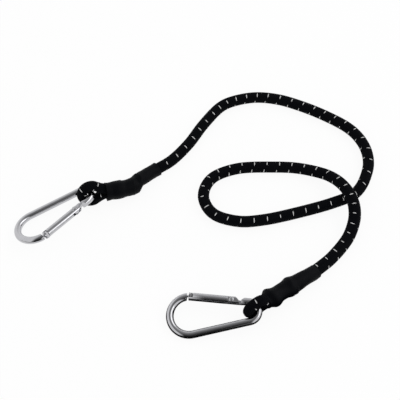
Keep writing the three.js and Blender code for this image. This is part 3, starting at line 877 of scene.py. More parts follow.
class Tube:
    """Closed mesh through rings of points, with a map of turns and lays for woven finishes."""

    sharp_angle = 60.0

    def __init__(self, name: str, turns: list[float]) -> None:
        """Starts an empty tube.

        Args:
            name: Name of the piece.
            turns: Turn, from 0 to 1, of every side.
        """
        self.name = name
        self.turns = turns
        self.points: list[Vector] = []
        self.faces: list[list[int]] = []
        self.places: list[tuple[float, float]] = []

    def join(self, first: int, second: int, near: Ring, far: Ring) -> None:
        """Joins two rings of points.

        Args:
            first: Number of the first ring's first point.
            second: Number of the second ring's first point.
            near: Where the first ring lies on the map.
            far: Where the second ring lies on the map.
        """
        self.faces += band(first, second, len(self.turns))
        for start, end in zip(self.turns, [*self.turns[1:], 1.0 + self.turns[0]]):
            self.places += [(start - near.shift, near.lay), (end - near.shift, near.lay)]
            self.places += [(end - far.shift, far.lay), (start - far.shift, far.lay)]

    def wall(self, rings: list[Ring]) -> tuple[int, int]:
        """Adds a wall through the rings.

        Args:
            rings: Sections in order.

        Returns:
            The numbers of the first point of the first ring and of the last.
        """
        start = len(self.points)
        sides = len(self.turns)
        for ring in rings:
            self.points.extend(ring.points)
        for index, (near, far) in enumerate(zip(rings, rings[1:])):
            self.join(start + index * sides, start + (index + 1) * sides, near, far)
        return start, start + (len(rings) - 1) * sides

    def cap(self, first: int, lay: float) -> None:
        """Closes a ring, by the number of its first point, with one face."""
        self.faces.append([first + side for side in range(len(self.turns))])
        self.places += [(turn, lay) for turn in self.turns]

    def piece(self) -> bpy.types.Object:
        """Makes the object, shaded smooth between its sharp edges.

        Returns:
            The new object.
        """
        places = [value for place in self.places for value in place]
        piece = closed(self.name, self.points, self.faces, places)
        smooth(piece, self.sharp_angle)
        return piece


def pipe(name: str, turns: list[float], outer: list[Ring], inner: list[Ring]) -> bpy.types.Object:
    """Makes a pipe between outer and inner rings.

    Args:
        name: Name of the piece.
        turns: Turn of every side.
        outer: Sections of the outside.
        inner: Sections of the inside.

    Returns:
        The new object.
    """
    tube = Tube(name, turns)
    ends = zip(tube.wall(outer), tube.wall(inner), (outer[0], outer[-1]))
    for out_first, in_first, ring in ends:
        rim = Ring([], ring.lay)
        tube.join(out_first, in_first, rim, rim)
    return tube.piece()


def rod(name: str, turns: list[float], rings: list[Ring]) -> bpy.types.Object:
    """Makes a filled solid through rings.

    Args:
        name: Name of the piece.
        turns: Turn of every side.
        rings: Sections in order.

    Returns:
        The new object.
    """
    tube = Tube(name, turns)
    for first, ring in zip(tube.wall(rings), (rings[0], rings[-1])):
        tube.cap(first, ring.lay)
    return tube.piece()


# Solids that are cut and joined


class Forge:
    """Makes plain solids in a piece's own frame and works them into each other."""

    edge_angle = 35.0

    def __init__(self, place: Matrix) -> None:
        """Keeps the frame that the solids are made in."""
        self.place = place

    def solid(self, name: str, points: list[Vector], faces: list[list[int]]) -> bpy.types.Object:
        """Returns a closed solid from points in the piece's frame and its faces."""
        return closed(name, [self.place @ point for point in points], faces)

    def block(
        self,
        name: str,
        low: tuple[float, float, float],
        high: tuple[float, float, float],
        turned: Matrix = Matrix.Identity(4),
    ) -> bpy.types.Object:
        """Makes a box between two corners.

        Args:
            name: Name of the solid.
            low: Lowest corner.
            high: Highest corner.
            turned: Turn and shift of the box in the piece's frame.

        Returns:
            The new object.
        """
        corners = [turned @ Vector(corner) for corner in itertools.product(*zip(low, high))]
        faces = [[0, 1, 3, 2], [4, 6, 7, 5], [0, 4, 5, 1], [2, 3, 7, 6], [0, 2, 6, 4], [1, 5, 7, 3]]
        return self.solid(name, corners, faces)

    def lathed(
        self, name: str, profile: list[tuple[float, float]], axis: Vector, sides: int
    ) -> bpy.types.Object:
        """Makes a turned solid.

        Args:
            name: Name of the solid.
            profile: Place along the axis and radius of every step, first and last closed by a face.
            axis: Direction of the axis in the piece's frame, ALONG or UP.
            sides: Sides of the solid.

        Returns:
            The new object.
        """
        out = UP if axis is ALONG else ALONG
        points: list[Vector] = []
        for x, radius in profile:
            points += circle(axis * x, out, axis.cross(out), radius, even_turns(sides))
        starts = [ring * sides for ring in range(len(profile))]
        faces = [face for near, far in zip(starts, starts[1:]) for face in band(near, far, sides)]
        faces += [[start + side for side in range(sides)] for start in (starts[0], starts[-1])]
        return self.solid(name, points, faces)

    def pin(self, name: str, reach: float, radius: float, sides: int) -> bpy.types.Object:
        """Returns an upright round pin that reaches as far down as up."""
        return self.lathed(name, [(-reach, radius), (reach, radius)], UP, sides)

    @staticmethod
    def worked(piece: bpy.types.Object, tools: list[tuple[Blank, bpy.types.Object]]) -> None:
        """Joins and cuts solids.

        Args:
            piece: Solid that is worked on.
            tools: The other solids, each with what it does; they are gone afterwards.
        """
        for blank, tool in tools:
            modifier = piece.modifiers.new(tool.name, "BOOLEAN")
            modifier.operation = blank.value
            modifier.solver = "EXACT"
            modifier.object = tool
        plain(piece)
        for _, tool in tools:
            bpy.data.meshes.remove(tool.data)

    def eased_edges(self, piece: bpy.types.Object, width: float) -> None:
        """Rounds the edges of a piece.

        Args:
            piece: Solid with sharp edges.
            width: Width of the rounding.
        """
        modifier = piece.modifiers.new("eased", "BEVEL")
        modifier.limit_method = "ANGLE"
        modifier.angle_limit = math.radians(self.edge_angle)
        modifier.width = width
        modifier.segments = 2
        modifier.use_clamp_overlap = True
        plain(piece)
        smooth(piece, self.edge_angle)


# Line of the cord


class CordLine:
    """Smooth centre line through the route's points, evenly stepped, with frames that don't twist."""

    fine_steps = 24

    def __init__(self, points: list[tuple[float, float, float]], spacing: float) -> None:
        """Walks the curve.

        Args:
            points: Points of the route.
            spacing: Step along the curve.
        """
        fine = self.fine_points([Vector(point) for point in points])
        self.places = self.stepped(fine, spacing)
        self.forward = self.directions(self.places)
        self.arc = lengths_gone(self.places)
        self.out = self.carried(UP)

    @property
    def length(self) -> float:
        """Length of the line."""
        return self.arc[-1]

    def fine_points(self, route: list[Vector]) -> list[Vector]:
        """Gives points of a centripetal spline.

        Args:
            route: Points that the spline goes through.

        Returns:
            Points that lie close together.
        """
        steps = self.fine_steps
        padded = [route[0] * 2.0 - route[1], *route, route[-1] * 2.0 - route[-2]]
        points = []
        for index in range(1, len(padded) - 2):
            corner = padded[index - 1 : index + 3]
            points.extend(self.on_stretch(corner, step / steps) for step in range(steps))
        return [*points, route[-1].copy()]

    @staticmethod
    def on_stretch(corner: list[Vector], share: float) -> Vector:
        """Gives a point between the two middle ones of four points.

        Args:
            corner: Four points in order.
            share: Share of the way between the middle two.

        Returns:
            The point on the spline.
        """
        p0, p1, p2, p3 = corner
        d0, d1, d2 = (math.sqrt((b - a).length) for a, b in zip(corner, corner[1:]))
        t1 = ((p1 - p0) / d0 - (p2 - p0) / (d0 + d1) + (p2 - p1) / d1) * d1
        t2 = ((p2 - p1) / d1 - (p3 - p1) / (d1 + d2) + (p3 - p2) / d2) * d1
        c2 = (p2 - p1) * 3.0 - t1 * 2.0 - t2
        c3 = (p1 - p2) * 2.0 + t1 + t2
        return p1 + t1 * share + c2 * share**2 + c3 * share**3

    @staticmethod
    def stepped(fine: list[Vector], spacing: float) -> list[Vector]:
        """Walks fine points in even steps.

        Args:
            fine: Points that lie close together.
            spacing: Wanted step.

        Returns:
            Points an even step apart, first and last included.
        """
        gone = lengths_gone(fine)
        count = max(2, round(gone[-1] / spacing))
        points = []
        for step in range(count + 1):
            index, share = reached(gone, gone[-1] * step / count)
            points.append(fine[index].lerp(fine[index + 1], share))
        return points

    @staticmethod
    def directions(places: list[Vector]) -> list[Vector]:
        """Returns the direction of the line at every point."""
        last = len(places) - 1
        return [(places[min(last, i + 1)] - places[max(0, i - 1)]).normalized() for i in range(last + 1)]

    def carried(self, start: Vector) -> list[Vector]:
        """Carries a direction along the line without twist.

        Args:
            start: Direction at the first point.

        Returns:
            The direction at every point, square to the line.
        """
        out = [(start - self.forward[0] * start.dot(self.forward[0])).normalized()]
        for forward in self.forward[1:]:
            moved = out[-1] - forward * out[-1].dot(forward)
            out.append(moved.normalized())
        return out


@dataclass
class Float:
    """One float of the tracer yarn, over the cord's centre line."""

    centre: Vector
    axis: Vector
    outward: Vector
    skin: float


class FloatTree(Nodes):
    """Node tree that lays a bent, rounded float of tracer yarn at every point."""

    unevenness = 0.2
    bead_sides = 10
    bead_rings = 5

    def __init__(self, length: float, width: float, height: float, slant: float, seed: int) -> None:
        """Builds the tree.

        Args:
            length: Length of a float along its yarn.
            width: Width of a float.
            height: Height of a float above the skin.
            slant: Angle of the yarn to the section of the cord, in radians.
            seed: Seed of the small differences between floats.
        """
        super().__init__(bpy.data.node_groups.new("tracer_floats", "GeometryNodeTree"))
        self.values = {"Length": length, "Width": width, "Height": height, "Slant": slant}
        self.values |= {"Unevenness": self.unevenness, "Seed": seed}
        kinds = {"Seed": "NodeSocketInt", "Material": "NodeSocketMaterial"}
        face = self.tree.interface
        face.new_socket("Geometry", in_out="INPUT", socket_type="NodeSocketGeometry")
        face.new_socket("Geometry", in_out="OUTPUT", socket_type="NodeSocketGeometry")
        self.ids = {}
        for name in (*self.values, "Material"):
            kind = kinds.get(name, "NodeSocketFloat")
            self.ids[name] = face.new_socket(name, in_out="INPUT", socket_type=kind).identifier
        self.build()

    def scaled(self, vector: Socket, factor: Socket) -> Socket:
        """Returns a vector times a number."""
        return self.add("ShaderNodeVectorMath", {"operation": "SCALE"}, {0: vector, "Scale": factor})

    def summed(self, first: Socket, second: Socket) -> Socket:
        """Returns the sum of two vectors."""
        return self.add("ShaderNodeVectorMath", {"operation": "ADD"}, {0: first, 1: second})

    def read(self, name: str, kind: str = "FLOAT_VECTOR") -> Socket:
        """Returns a named attribute of the points."""
        return self.add("GeometryNodeInputNamedAttribute", {"data_type": kind}, {"Name": name})

    def stored(self, geometry: Socket, name: str, value: Socket, kind: str = "FLOAT_VECTOR") -> Socket:
        """Returns the geometry with a named attribute added."""
        inputs = {"Geometry": geometry, "Name": name, "Value": value}
        return self.add("GeometryNodeStoreNamedAttribute", {"data_type": kind, "domain": "POINT"}, inputs)

    def build(self) -> None:
        """Links the nodes: a round bead for each point, bent round the cord and laid on its skin."""
        entry = self.tree.nodes.new("NodeGroupInput")
        given = {output.name: Socket(self, output) for output in entry.outputs}
        place = self.add("GeometryNodeInputPosition")
        spread = given["Unevenness"]
        limits = {2: 1.0 - spread, 3: 1.0 + spread, "Seed": given["Seed"]}
        uneven = self.add("FunctionNodeRandomValue", {"data_type": "FLOAT"}, limits, output=1)
        points = self.stored(given["Geometry"], "centre", place)
        points = self.stored(points, "uneven", uneven, "FLOAT")
        sphere = {"Segments": self.bead_sides, "Rings": self.bead_rings, "Radius": 1.0}
        bead = self.add("GeometryNodeMeshUVSphere", {}, sphere, output="Mesh")
        bead = self.stored(bead, "bead", place)
        copies = self.add("GeometryNodeInstanceOnPoints", {}, {"Points": points, "Instance": bead})
        solid = self.add("GeometryNodeRealizeInstances", {}, {"Geometry": copies})
        x, y, z = self.parts(self.read("bead"))
        yarn = x * (given["Length"] * self.read("uneven", "FLOAT") * 0.5)
        across = y * (given["Width"] * 0.5)
        cosine, sine = given["Slant"].math("COSINE"), given["Slant"].math("SINE")
        skin, axis, outward = self.read("skin", "FLOAT"), self.read("axis"), self.read("outward")
        angle = (yarn * cosine - across * sine) / skin
        radius = skin + z * given["Height"]
        side = self.add("ShaderNodeVectorMath", {"operation": "CROSS_PRODUCT"}, {0: axis, 1: outward})
        rise = self.scaled(outward, radius * angle.math("COSINE"))
        turned = self.summed(rise, self.scaled(side, radius * angle.math("SINE")))
        middle = self.summed(self.read("centre"), self.scaled(axis, yarn * sine + across * cosine))
        laid = self.summed(middle, turned)
        moved = self.add("GeometryNodeSetPosition", {}, {"Geometry": solid, "Position": laid})
        soft = self.add("GeometryNodeSetShadeSmooth", {}, {"Geometry": moved})
        dressed = self.add("GeometryNodeSetMaterial", {}, {"Geometry": soft, "Material": given["Material"]})
        self.feed(self.tree.nodes.new("NodeGroupOutput").inputs[0], dressed)

    def grow(self, name: str, floats: list[Float], finish: bpy.types.Material) -> bpy.types.Object:
        """Makes the floats.

        Args:
            name: Name of the piece.
            floats: Where the floats lie.
            finish: Their material.

        Returns:
            The piece, as a plain mesh.
        """
        mesh = bpy.data.meshes.new(name)
        mesh.from_pydata([row.centre for row in floats], [], [])
        for label in ("axis", "outward"):
            values = [value for row in floats for value in getattr(row, label)]
            mesh.attributes.new(label, "FLOAT_VECTOR", "POINT").data.foreach_set("vector", values)
        mesh.attributes.new("skin", "FLOAT", "POINT").data.foreach_set("value", [row.skin for row in floats])
        points = link(name, mesh)
        modifier = points.modifiers.new("floats", "NODES")
        modifier.node_group = self.tree
        for label, value in (*self.values.items(), ("Material", finish)):
            modifier[self.ids[label]] = value
        plain(points)
        for label in ("centre", "axis", "outward", "bead", "skin", "uneven"):
            layer = points.data.attributes.get(label)
            if layer:
                points.data.attributes.remove(layer)
        return points


# Sub-assemblies


@dataclass
class ElasticCord:
    """The free stretch of cord: braid, core and the floats of its tracer yarn."""

    finishes: Finishes
    diameter: float = 0.010
    wall: float = 0.0009
    core_gap: float = 0.0003
    lay: float = 0.0124
    rows: int = 4
    sides: int = 40
    spacing: float = 0.0016
    float_length: float = 0.0044
    float_width: float = 0.00085
    float_height: float = 0.00022
    float_slant: float = -0.1
    proud: float = 0.0001
    swell: float = 0.00035
    swell_start: float = 0.600
    swell_end: float = 0.645
    seed: int = 7

    def __post_init__(self) -> None:
        """Walks the route and makes the tree of the tracer's floats."""
        yarns, crossings = BraidFinish.yarns, BraidFinish.float_crossings
        self.float_turn = (0.5 + crossings / 2.0) / (2.0 * yarns)
        self.float_lay = (0.5 - crossings / 2.0) / (2.0 * yarns)
        self.line = CordLine(CORD_ROUTE, self.spacing)
        sizes = (self.float_length, self.float_width, self.float_height, self.float_slant)
        self.tracer = FloatTree(*sizes, self.seed)

    def skin(self, arc: float) -> float:
        """Returns the radius of the braid's outside at a length along the cord."""
        swell = self.swell * eased(arc, self.swell_start, self.swell_end)
        return self.diameter / 2.0 + self.proud + swell

    def rings(self, inset: float, turns: list[float]) -> list[Ring]:
        """Gives the sections of the cord at a depth below its skin.

        Args:
            inset: Depth below the skin.
            turns: Turn of every side.

        Returns:
            The sections in order.
        """
        line = self.line
        rings = []
        for place, forward, out, arc in zip(line.places, line.forward, line.out, line.arc):
            points = circle(place, out, forward.cross(out), self.skin(arc) - inset, turns)
            lay = traced(TRACER_RUN, arc) + self.float_lay
            rings.append(Ring(points, lay, traced(TRACER_RUN, arc, give=2) - self.float_turn))
        return rings

    def woven(
        self, name: str, rings: Callable[[float, list[float]], list[Ring]]
    ) -> tuple[bpy.types.Object, bpy.types.Object]:
        """Makes the braid and the core of one stretch of the cord.

        Args:
            name: Start of the names of both.
            rings: Gives the stretch's sections at a depth below its skin.

        Returns:
            The braid and the core, with their finishes.
        """
        turns, core_turns = even_turns(self.sides), even_turns(self.sides // 2)
        cover = pipe(f"{name}_cover", turns, rings(0.0, turns), rings(self.wall, turns))
        core = rod(f"{name}_core", core_turns, rings(self.wall + self.core_gap, core_turns))
        cover.data.materials.append(self.finishes.braid)
        core.data.materials.append(self.finishes.rubber)
        return cover, core

    def build(self) -> list[bpy.types.Object]:
        """Builds and dresses the free cord.

        Returns:
            Its pieces.
        """
        braid, core = self.woven("cord", self.rings)
        tracer = self.tracer.grow("cord_tracer", self.float_places(), self.finishes.tracer)
        for piece, slot in ((braid, "braid"), (core, "rubber"), (tracer, "braid")):
            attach(piece, "cord")
        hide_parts("cord_braid")
        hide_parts("cord_rubber")
        return [braid, core, tracer]

    def float_places(self) -> list[Float]:
        """Places the tracer's floats in rows that stand a quarter turn and a quarter lay apart.

        Returns:
            The floats along the cord.
        """
        floats = []
        line = self.line
        reach = self.float_width
        first = math.ceil(traced(TRACER_RUN, reach) * self.rows)
        last = math.floor(traced(TRACER_RUN, line.length - reach) * self.rows)
        for index in range(first, last + 1):
            arc = traced(TRACER_RUN, index / self.rows, read=1, give=0)
            share = arc / line.length * (len(line.places) - 1)
            near = int(share)
            place = line.places[near].lerp(line.places[near + 1], share - near)
            forward = line.forward[near]
            outward = swung(line.out[near], forward, traced(TRACER_RUN, arc, give=2) - index / self.rows)
            floats.append(Float(place, forward, outward, self.skin(arc)))
        return floats


@dataclass(frozen=True)
class HookSizes:
    """Sizes of a snap hook: a pear-shaped ring of round bar with one straight gate."""

    length: float = 0.080
    wide_radius: float = 0.0196
    narrow_radius: float = 0.0116
    bar: float = 0.0064
    nose_setback: float = 0.0043
    nose_gap: float = 0.0009
    gate_trim: float = 0.0009
    gate: float = 0.0069
    rivet_place: float = 0.0333
    fork_reach: float = 0.0065
    fork_bevel: float = 0.0039
    cheek_width: float = 0.0058
    cheek_length: float = 0.0095
    tongue: float = 0.0024
    tongue_height: float = 0.0062
    tongue_top: float = 0.0002
    tongue_reach: float = 0.003
    tongue_clearance: float = 0.0003
    shoulder_gap: float = 0.0018
    run_clearance: float = 0.0005
    rivet: float = 0.0028
    rivet_clearance: float = 0.00015
    rivet_head: float = 0.0044
    rivet_head_height: float = 0.0006
    bore: float = 0.004
    bore_end: float = 0.021
    spring: float = 0.0034
    spring_wire: float = 0.0005
    spring_start: float = 0.0073
    spring_turns: int = 8
    lip: float = 0.0018
    latch_clearance: float = 0.0004
    head_length: float = 0.0019
    head_width: float = 0.0058
    head_height: float = 0.0032
    head_drop: float = 0.0008
    neck_width: float = 0.0022
    neck_height: float = 0.0013
    shoulder_bevel: float = 0.0028
    face_gap: float = 0.0003
    overrun: float = 0.001
    easing: float = 0.00018


@dataclass
class SnapHook:
    """Snap hook at one end: bar, gate and rivet."""

    side: Side
    finishes: Finishes
    heading: float
    pitch: float
    roll: float
    gate_side: float
    sizes: HookSizes = field(default_factory=HookSizes)
    bar_sides: int = 40
    tip_sides: int = 48
    hole_sides: int = 32
    gate_sides: int = 56
    rivet_sides: int = 36
    wire_sides: int = 10
    bend_steps: int = 72
    coil_steps: int = 24
    dome_steps: int = 6
    dome_reach: float = 80.0
    round_edges: float = 50.0

    def __post_init__(self) -> None:
        """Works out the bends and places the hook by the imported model's gate hinge."""
        size = self.sizes
        self.bar_radius = size.bar / 2.0
        self.wide_bend = size.wide_radius - self.bar_radius
        self.narrow_bend = size.narrow_radius - self.bar_radius
        self.bend_distance = size.length - size.wide_radius - size.narrow_radius
        self.tilt = math.asin((self.wide_bend - self.narrow_bend) / self.bend_distance)
        self.along_gate = Vector((math.cos(self.tilt), -math.sin(self.tilt), 0.0))
        self.across_gate = Vector((math.sin(self.tilt), math.cos(self.tilt), 0.0))
        self.rivet_at = self.across_gate * self.wide_bend + self.along_gate * size.rivet_place
        turn = self.orientation()
        hinge = Vector(joint(f"{self.side.value}_gate_hinge")["pos_m"])
        self.place = Matrix.Translation(hinge - turn @ self.rivet_at) @ turn.to_4x4()
        basis = Matrix((-self.along_gate, self.across_gate, Vector((0.0, 0.0, -1.0)))).transposed().to_4x4()
        self.gate_place = self.place @ Matrix.Translation(self.rivet_at) @ basis
        self.nose_face = size.rivet_place + size.nose_setback
        self.gate_end = self.nose_face - size.nose_gap
        self.shoulder = -(size.fork_reach + size.shoulder_gap)
        self.latch_wall = self.gate_end - size.lip
        self.head_end = self.latch_wall - size.latch_clearance
        self.head_start = self.head_end - size.head_length

    def orientation(self) -> Matrix:
        """Turns the hook by its heading, pitch and roll.

        Returns:
            The turn from the hook's own frame to the model's.
        """
        heading, pitch, roll = (math.radians(angle) for angle in (self.heading, self.pitch, self.roll))
        level_run = math.cos(pitch)
        along = Vector((math.cos(heading) * level_run, math.sin(heading) * level_run, math.sin(pitch)))
        level = Vector((-math.sin(heading), math.cos(heading), 0.0)) * self.gate_side
        lift = along.cross(level) * self.gate_side
        to_gate = level * math.cos(roll) + lift * math.sin(roll)
        return Matrix((along, to_gate, along.cross(to_gate))).transposed()

    def bar_rings(self) -> list[Ring]:
        """Gives the sections of the bar from its nose round both bends to the hinge's shoulder.

        Returns:
            The sections in the model's frame.
        """
        turns = even_turns(self.bar_sides)
        gate_turn = math.pi / 2.0 - self.tilt
        nose_turn = gate_turn + math.asin(self.sizes.nose_setback / self.wide_bend)
        sections = [(level_ray(nose_turn) * self.wide_bend, self.across_gate)]
        for turn in spread(nose_turn, TURN - gate_turn, self.bend_steps)[1:]:
            out = level_ray(turn)
            sections.append((out * self.wide_bend, out))
        centre = Vector((self.bend_distance, 0.0, 0.0))
        for turn in spread(-gate_turn, gate_turn, self.bend_steps):
            out = level_ray(turn)
            sections.append((centre + out * self.narrow_bend, out))
        sections.append((self.rivet_at - self.along_gate * self.shoulder, self.across_gate))
        rings = []
        for place, out in sections:
            points = circle(place, out, UP, self.bar_radius, turns)
            rings.append(Ring([self.place @ point for point in points]))
        return rings

    def build_bar(self) -> bpy.types.Object:
        """Builds the bent bar with its tongue and its T-shaped latch head.

        Returns:
            The hook's body.
        """
        size = self.sizes
        bar = rod(f"{self.side.value}_hook_bar", even_turns(self.bar_sides), self.bar_rings())
        forge = Forge(self.gate_place)
        half = size.tongue / 2.0
        tongue_low = (self.shoulder - size.overrun, -size.tongue_height / 2.0, -half)
        tongue = forge.block("tongue", tongue_low, (0.0, size.tongue_top, half))
        tip = forge.pin("tongue_tip", half, size.tongue_height / 2.0, self.tip_sides)
        hole_radius = size.rivet / 2.0 + size.rivet_clearance
        hole = forge.pin("hole", half + size.overrun, hole_radius, self.hole_sides)
        top = size.head_height - size.head_drop
        head = forge.block(
            "head",
            (self.head_start, -size.head_drop, -size.head_width / 2.0),
            (self.head_end, top, size.head_width / 2.0),
        )
        neck = forge.block(
            "neck",
            (self.head_start + size.overrun / 2.0, -size.head_drop + size.easing, -size.neck_width / 2.0),
            (self.nose_face + size.overrun, size.neck_height - size.head_drop, size.neck_width / 2.0),
        )
        far = self.bar_radius + size.overrun
        middle = (self.shoulder - size.shoulder_bevel / 2.0, self.bar_radius - size.shoulder_bevel / 2.0, 0.0)
        turned = Matrix.Translation(middle) @ Matrix.Rotation(-EIGHTH_TURN, 4, "Z")
        bevel = forge.block("shoulder_bevel", (-far, 0.0, -far), (far, far, far), turned)
        tools = [
            (Blank.CUT, bevel),
            (Blank.JOIN, tongue),
            (Blank.JOIN, tip),
            (Blank.CUT, hole),
            (Blank.JOIN, head),
            (Blank.JOIN, neck),
        ]
        forge.worked(bar, tools)
        forge.eased_edges(bar, size.easing)
        return self.dressed(bar, self.finishes.hook, "hook", "hook_metal", "hook_body")

    def build_gate(self) -> bpy.types.Object:
        """Builds the gate: a drilled rod with a fork at the hinge and a T-slot at the latch.

        Returns:
            The gate.
        """
        size = self.sizes
        forge = Forge(self.gate_place)
        radius = size.gate / 2.0
        far = radius + size.overrun
        slot = size.tongue / 2.0 + size.tongue_clearance
        slot_end = math.hypot(size.tongue_reach, size.tongue_height / 2.0) + size.run_clearance
        profile = [(-size.fork_reach, radius), (self.gate_end - size.gate_trim, radius)]
        gate = forge.lathed(f"{self.side.value}_gate_tube", profile, ALONG, self.gate_sides)
        bore = [(size.tongue_reach - size.face_gap, size.bore / 2.0), (size.bore_end, size.bore / 2.0)]
        hole = size.rivet / 2.0 + size.rivet_clearance
        start = self.head_start - size.latch_clearance
        floor = -(size.head_drop + size.latch_clearance)
        neck = size.neck_width / 2.0 + size.latch_clearance
        fork_end = -(size.fork_reach + size.overrun)
        cheek_end = size.cheek_length - size.fork_reach
        cheek = size.cheek_width / 2.0
        bevel = size.fork_bevel
        turned = Matrix.Translation((-size.fork_reach + bevel / 2.0, radius - bevel / 2.0, 0.0))
        turned = turned @ Matrix.Rotation(EIGHTH_TURN, 4, "Z")
        tools = [
            forge.block("fork_slot", (fork_end, -far, -slot), (slot_end, far, slot)),
            forge.pin("rivet_hole", far, hole, self.hole_sides),
            forge.lathed("bore", bore, ALONG, self.hole_sides),
            forge.block("latch_slot", (start, floor, -far), (self.latch_wall, far, far)),
            forge.block("neck_slot", (start, floor, -neck), (self.gate_end + size.overrun, far, neck)),
            forge.block("upper_flat", (fork_end, -far, cheek), (cheek_end, far, far)),
            forge.block("lower_flat", (fork_end, -far, -far), (cheek_end, far, -cheek)),
            forge.block("bevel", (-2.0 * bevel, 0.0, -far), (2.0 * bevel, 2.0 * bevel, far), turned),
        ]
        forge.worked(gate, [(Blank.CUT, tool) for tool in tools])
        forge.eased_edges(gate, size.easing)
        return self.dressed(gate, self.finishes.gate, "gate", "gate_steel", "gate")

    def build_rivet(self) -> bpy.types.Object:
        """Builds the rivet with its two domed heads.

        Returns:
            The rivet.
        """
        size = self.sizes
        seat = size.cheek_width / 2.0 + size.face_gap / 3.0
        top = size.cheek_width / 2.0 + size.face_gap + size.rivet_head_height
        shank = size.rivet / 2.0
        head = size.rivet_head / 2.0
        turns = spread(0.0, math.radians(self.dome_reach), self.dome_steps)
        upper = [(blend(seat, top, math.sin(turn)), head * math.cos(turn)) for turn in turns]
        lower = [(-height, radius) for height, radius in reversed(upper)]
        profile = [*lower, (-seat, shank), (seat, shank), *upper]
        rivet = Forge(self.gate_place).lathed(f"{self.side.value}_rivet", profile, UP, self.rivet_sides)
        smooth(rivet, self.round_edges)
        return self.dressed(rivet, self.finishes.steel, "gate", "gate_steel", "gate_rivet")

    def build_spring(self) -> bpy.types.Object:
        """Builds the gate spring, a coil that runs to the bore's end.

        Returns:
            The spring.
        """
        size = self.sizes
        wire_radius = size.spring_wire / 2.0
        radius = (size.spring - size.spring_wire) / 2.0
        end = size.bore_end - size.face_gap
        length = end - size.spring_start
        steps = size.spring_turns * self.coil_steps
        rise = (length - size.spring_wire) / steps
        rise_per_radian = rise * self.coil_steps / TURN
        turns = even_turns(self.wire_sides)
        rings = []
        for step in range(steps + 1):
            turn = TURN * step / self.coil_steps
            y, z = math.cos(turn), math.sin(turn)
            out = Vector((0.0, y, z))
            forward = Vector((rise_per_radian, -radius * z, radius * y)).normalized()
            place = Vector((size.spring_start + wire_radius + rise * step, 0.0, 0.0)) + out * radius
            points = circle(place, out, out.cross(forward), wire_radius, turns)
            rings.append(Ring([self.gate_place @ point for point in points]))
        coil = rod(f"{self.side.value}_gate_coil", turns, rings)
        smooth(coil, self.round_edges)
        self.dressed(coil, self.finishes.steel, "gate", "gate_steel", "gate_spring")
        slide = joint(f"{self.side.value}_plunger_slide")
        tuple(self.gate_place.to_3x3() @ Vector((1.0, 0.0, 0.0)))
        tuple(self.gate_place @ Vector((end, 0.0, 0.0)))
        1.0 - slide["range_m"][1] / length
        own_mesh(coil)
        return coil

    def dressed(
        self, piece: bpy.types.Object, finish: bpy.types.Material, body: str, slot: str, node: str
    ) -> bpy.types.Object:
        """Gives a piece its finish and its body, and hides the CAD node that it stands for.

        Args:
            piece: Finished mesh.
            finish: Its material.
            body: Body at this end, without the end's name.
            slot: Material slot of the record; not used.
            node: CAD node at this end, without the end's name.

        Returns:
            The same piece.
        """
        piece.data.materials.clear()
        piece.data.materials.append(finish)
        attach(piece, f"{self.side.value}_{body}")
        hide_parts(f"{self.side.value}_{node}")
        return piece

    def build(self) -> list[bpy.types.Object]:
        """Returns the hook's own pieces and dresses the plunger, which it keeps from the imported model."""
        dress_node(f"{self.side.value}_gate_plunger", self.finishes.steel)
        return [self.build_bar(), self.build_gate(), self.build_rivet(), self.build_spring()]


@dataclass(frozen=True)
class BundleSizes:
    """Sizes of the doubled cord behind an eye, its clips and its sleeve."""

    eye_cord: float = 0.0092
    eye_gap: float = 0.00045
    bundle_radius: float = 0.0061
    strand_offset: float = 0.0032
    strand_gap: float = 0.0003
    clip_width: float = 0.0045
    clip_thickness: float = 0.001
    clip_seat: float = 0.00025
    sleeve_wall: float = 0.0008
    face_gap: float = 0.0003
    tail_reach_share: float = 0.25
    crease_count: float = 1.6
    crease_density: float = 260.0
    crease_depth: float = 0.00016


@dataclass
class Station:
    """One section of the doubled cord, in the eye's frame."""

    place: Vector
    out: Vector
    across: Vector
    packing: float
    radius: float


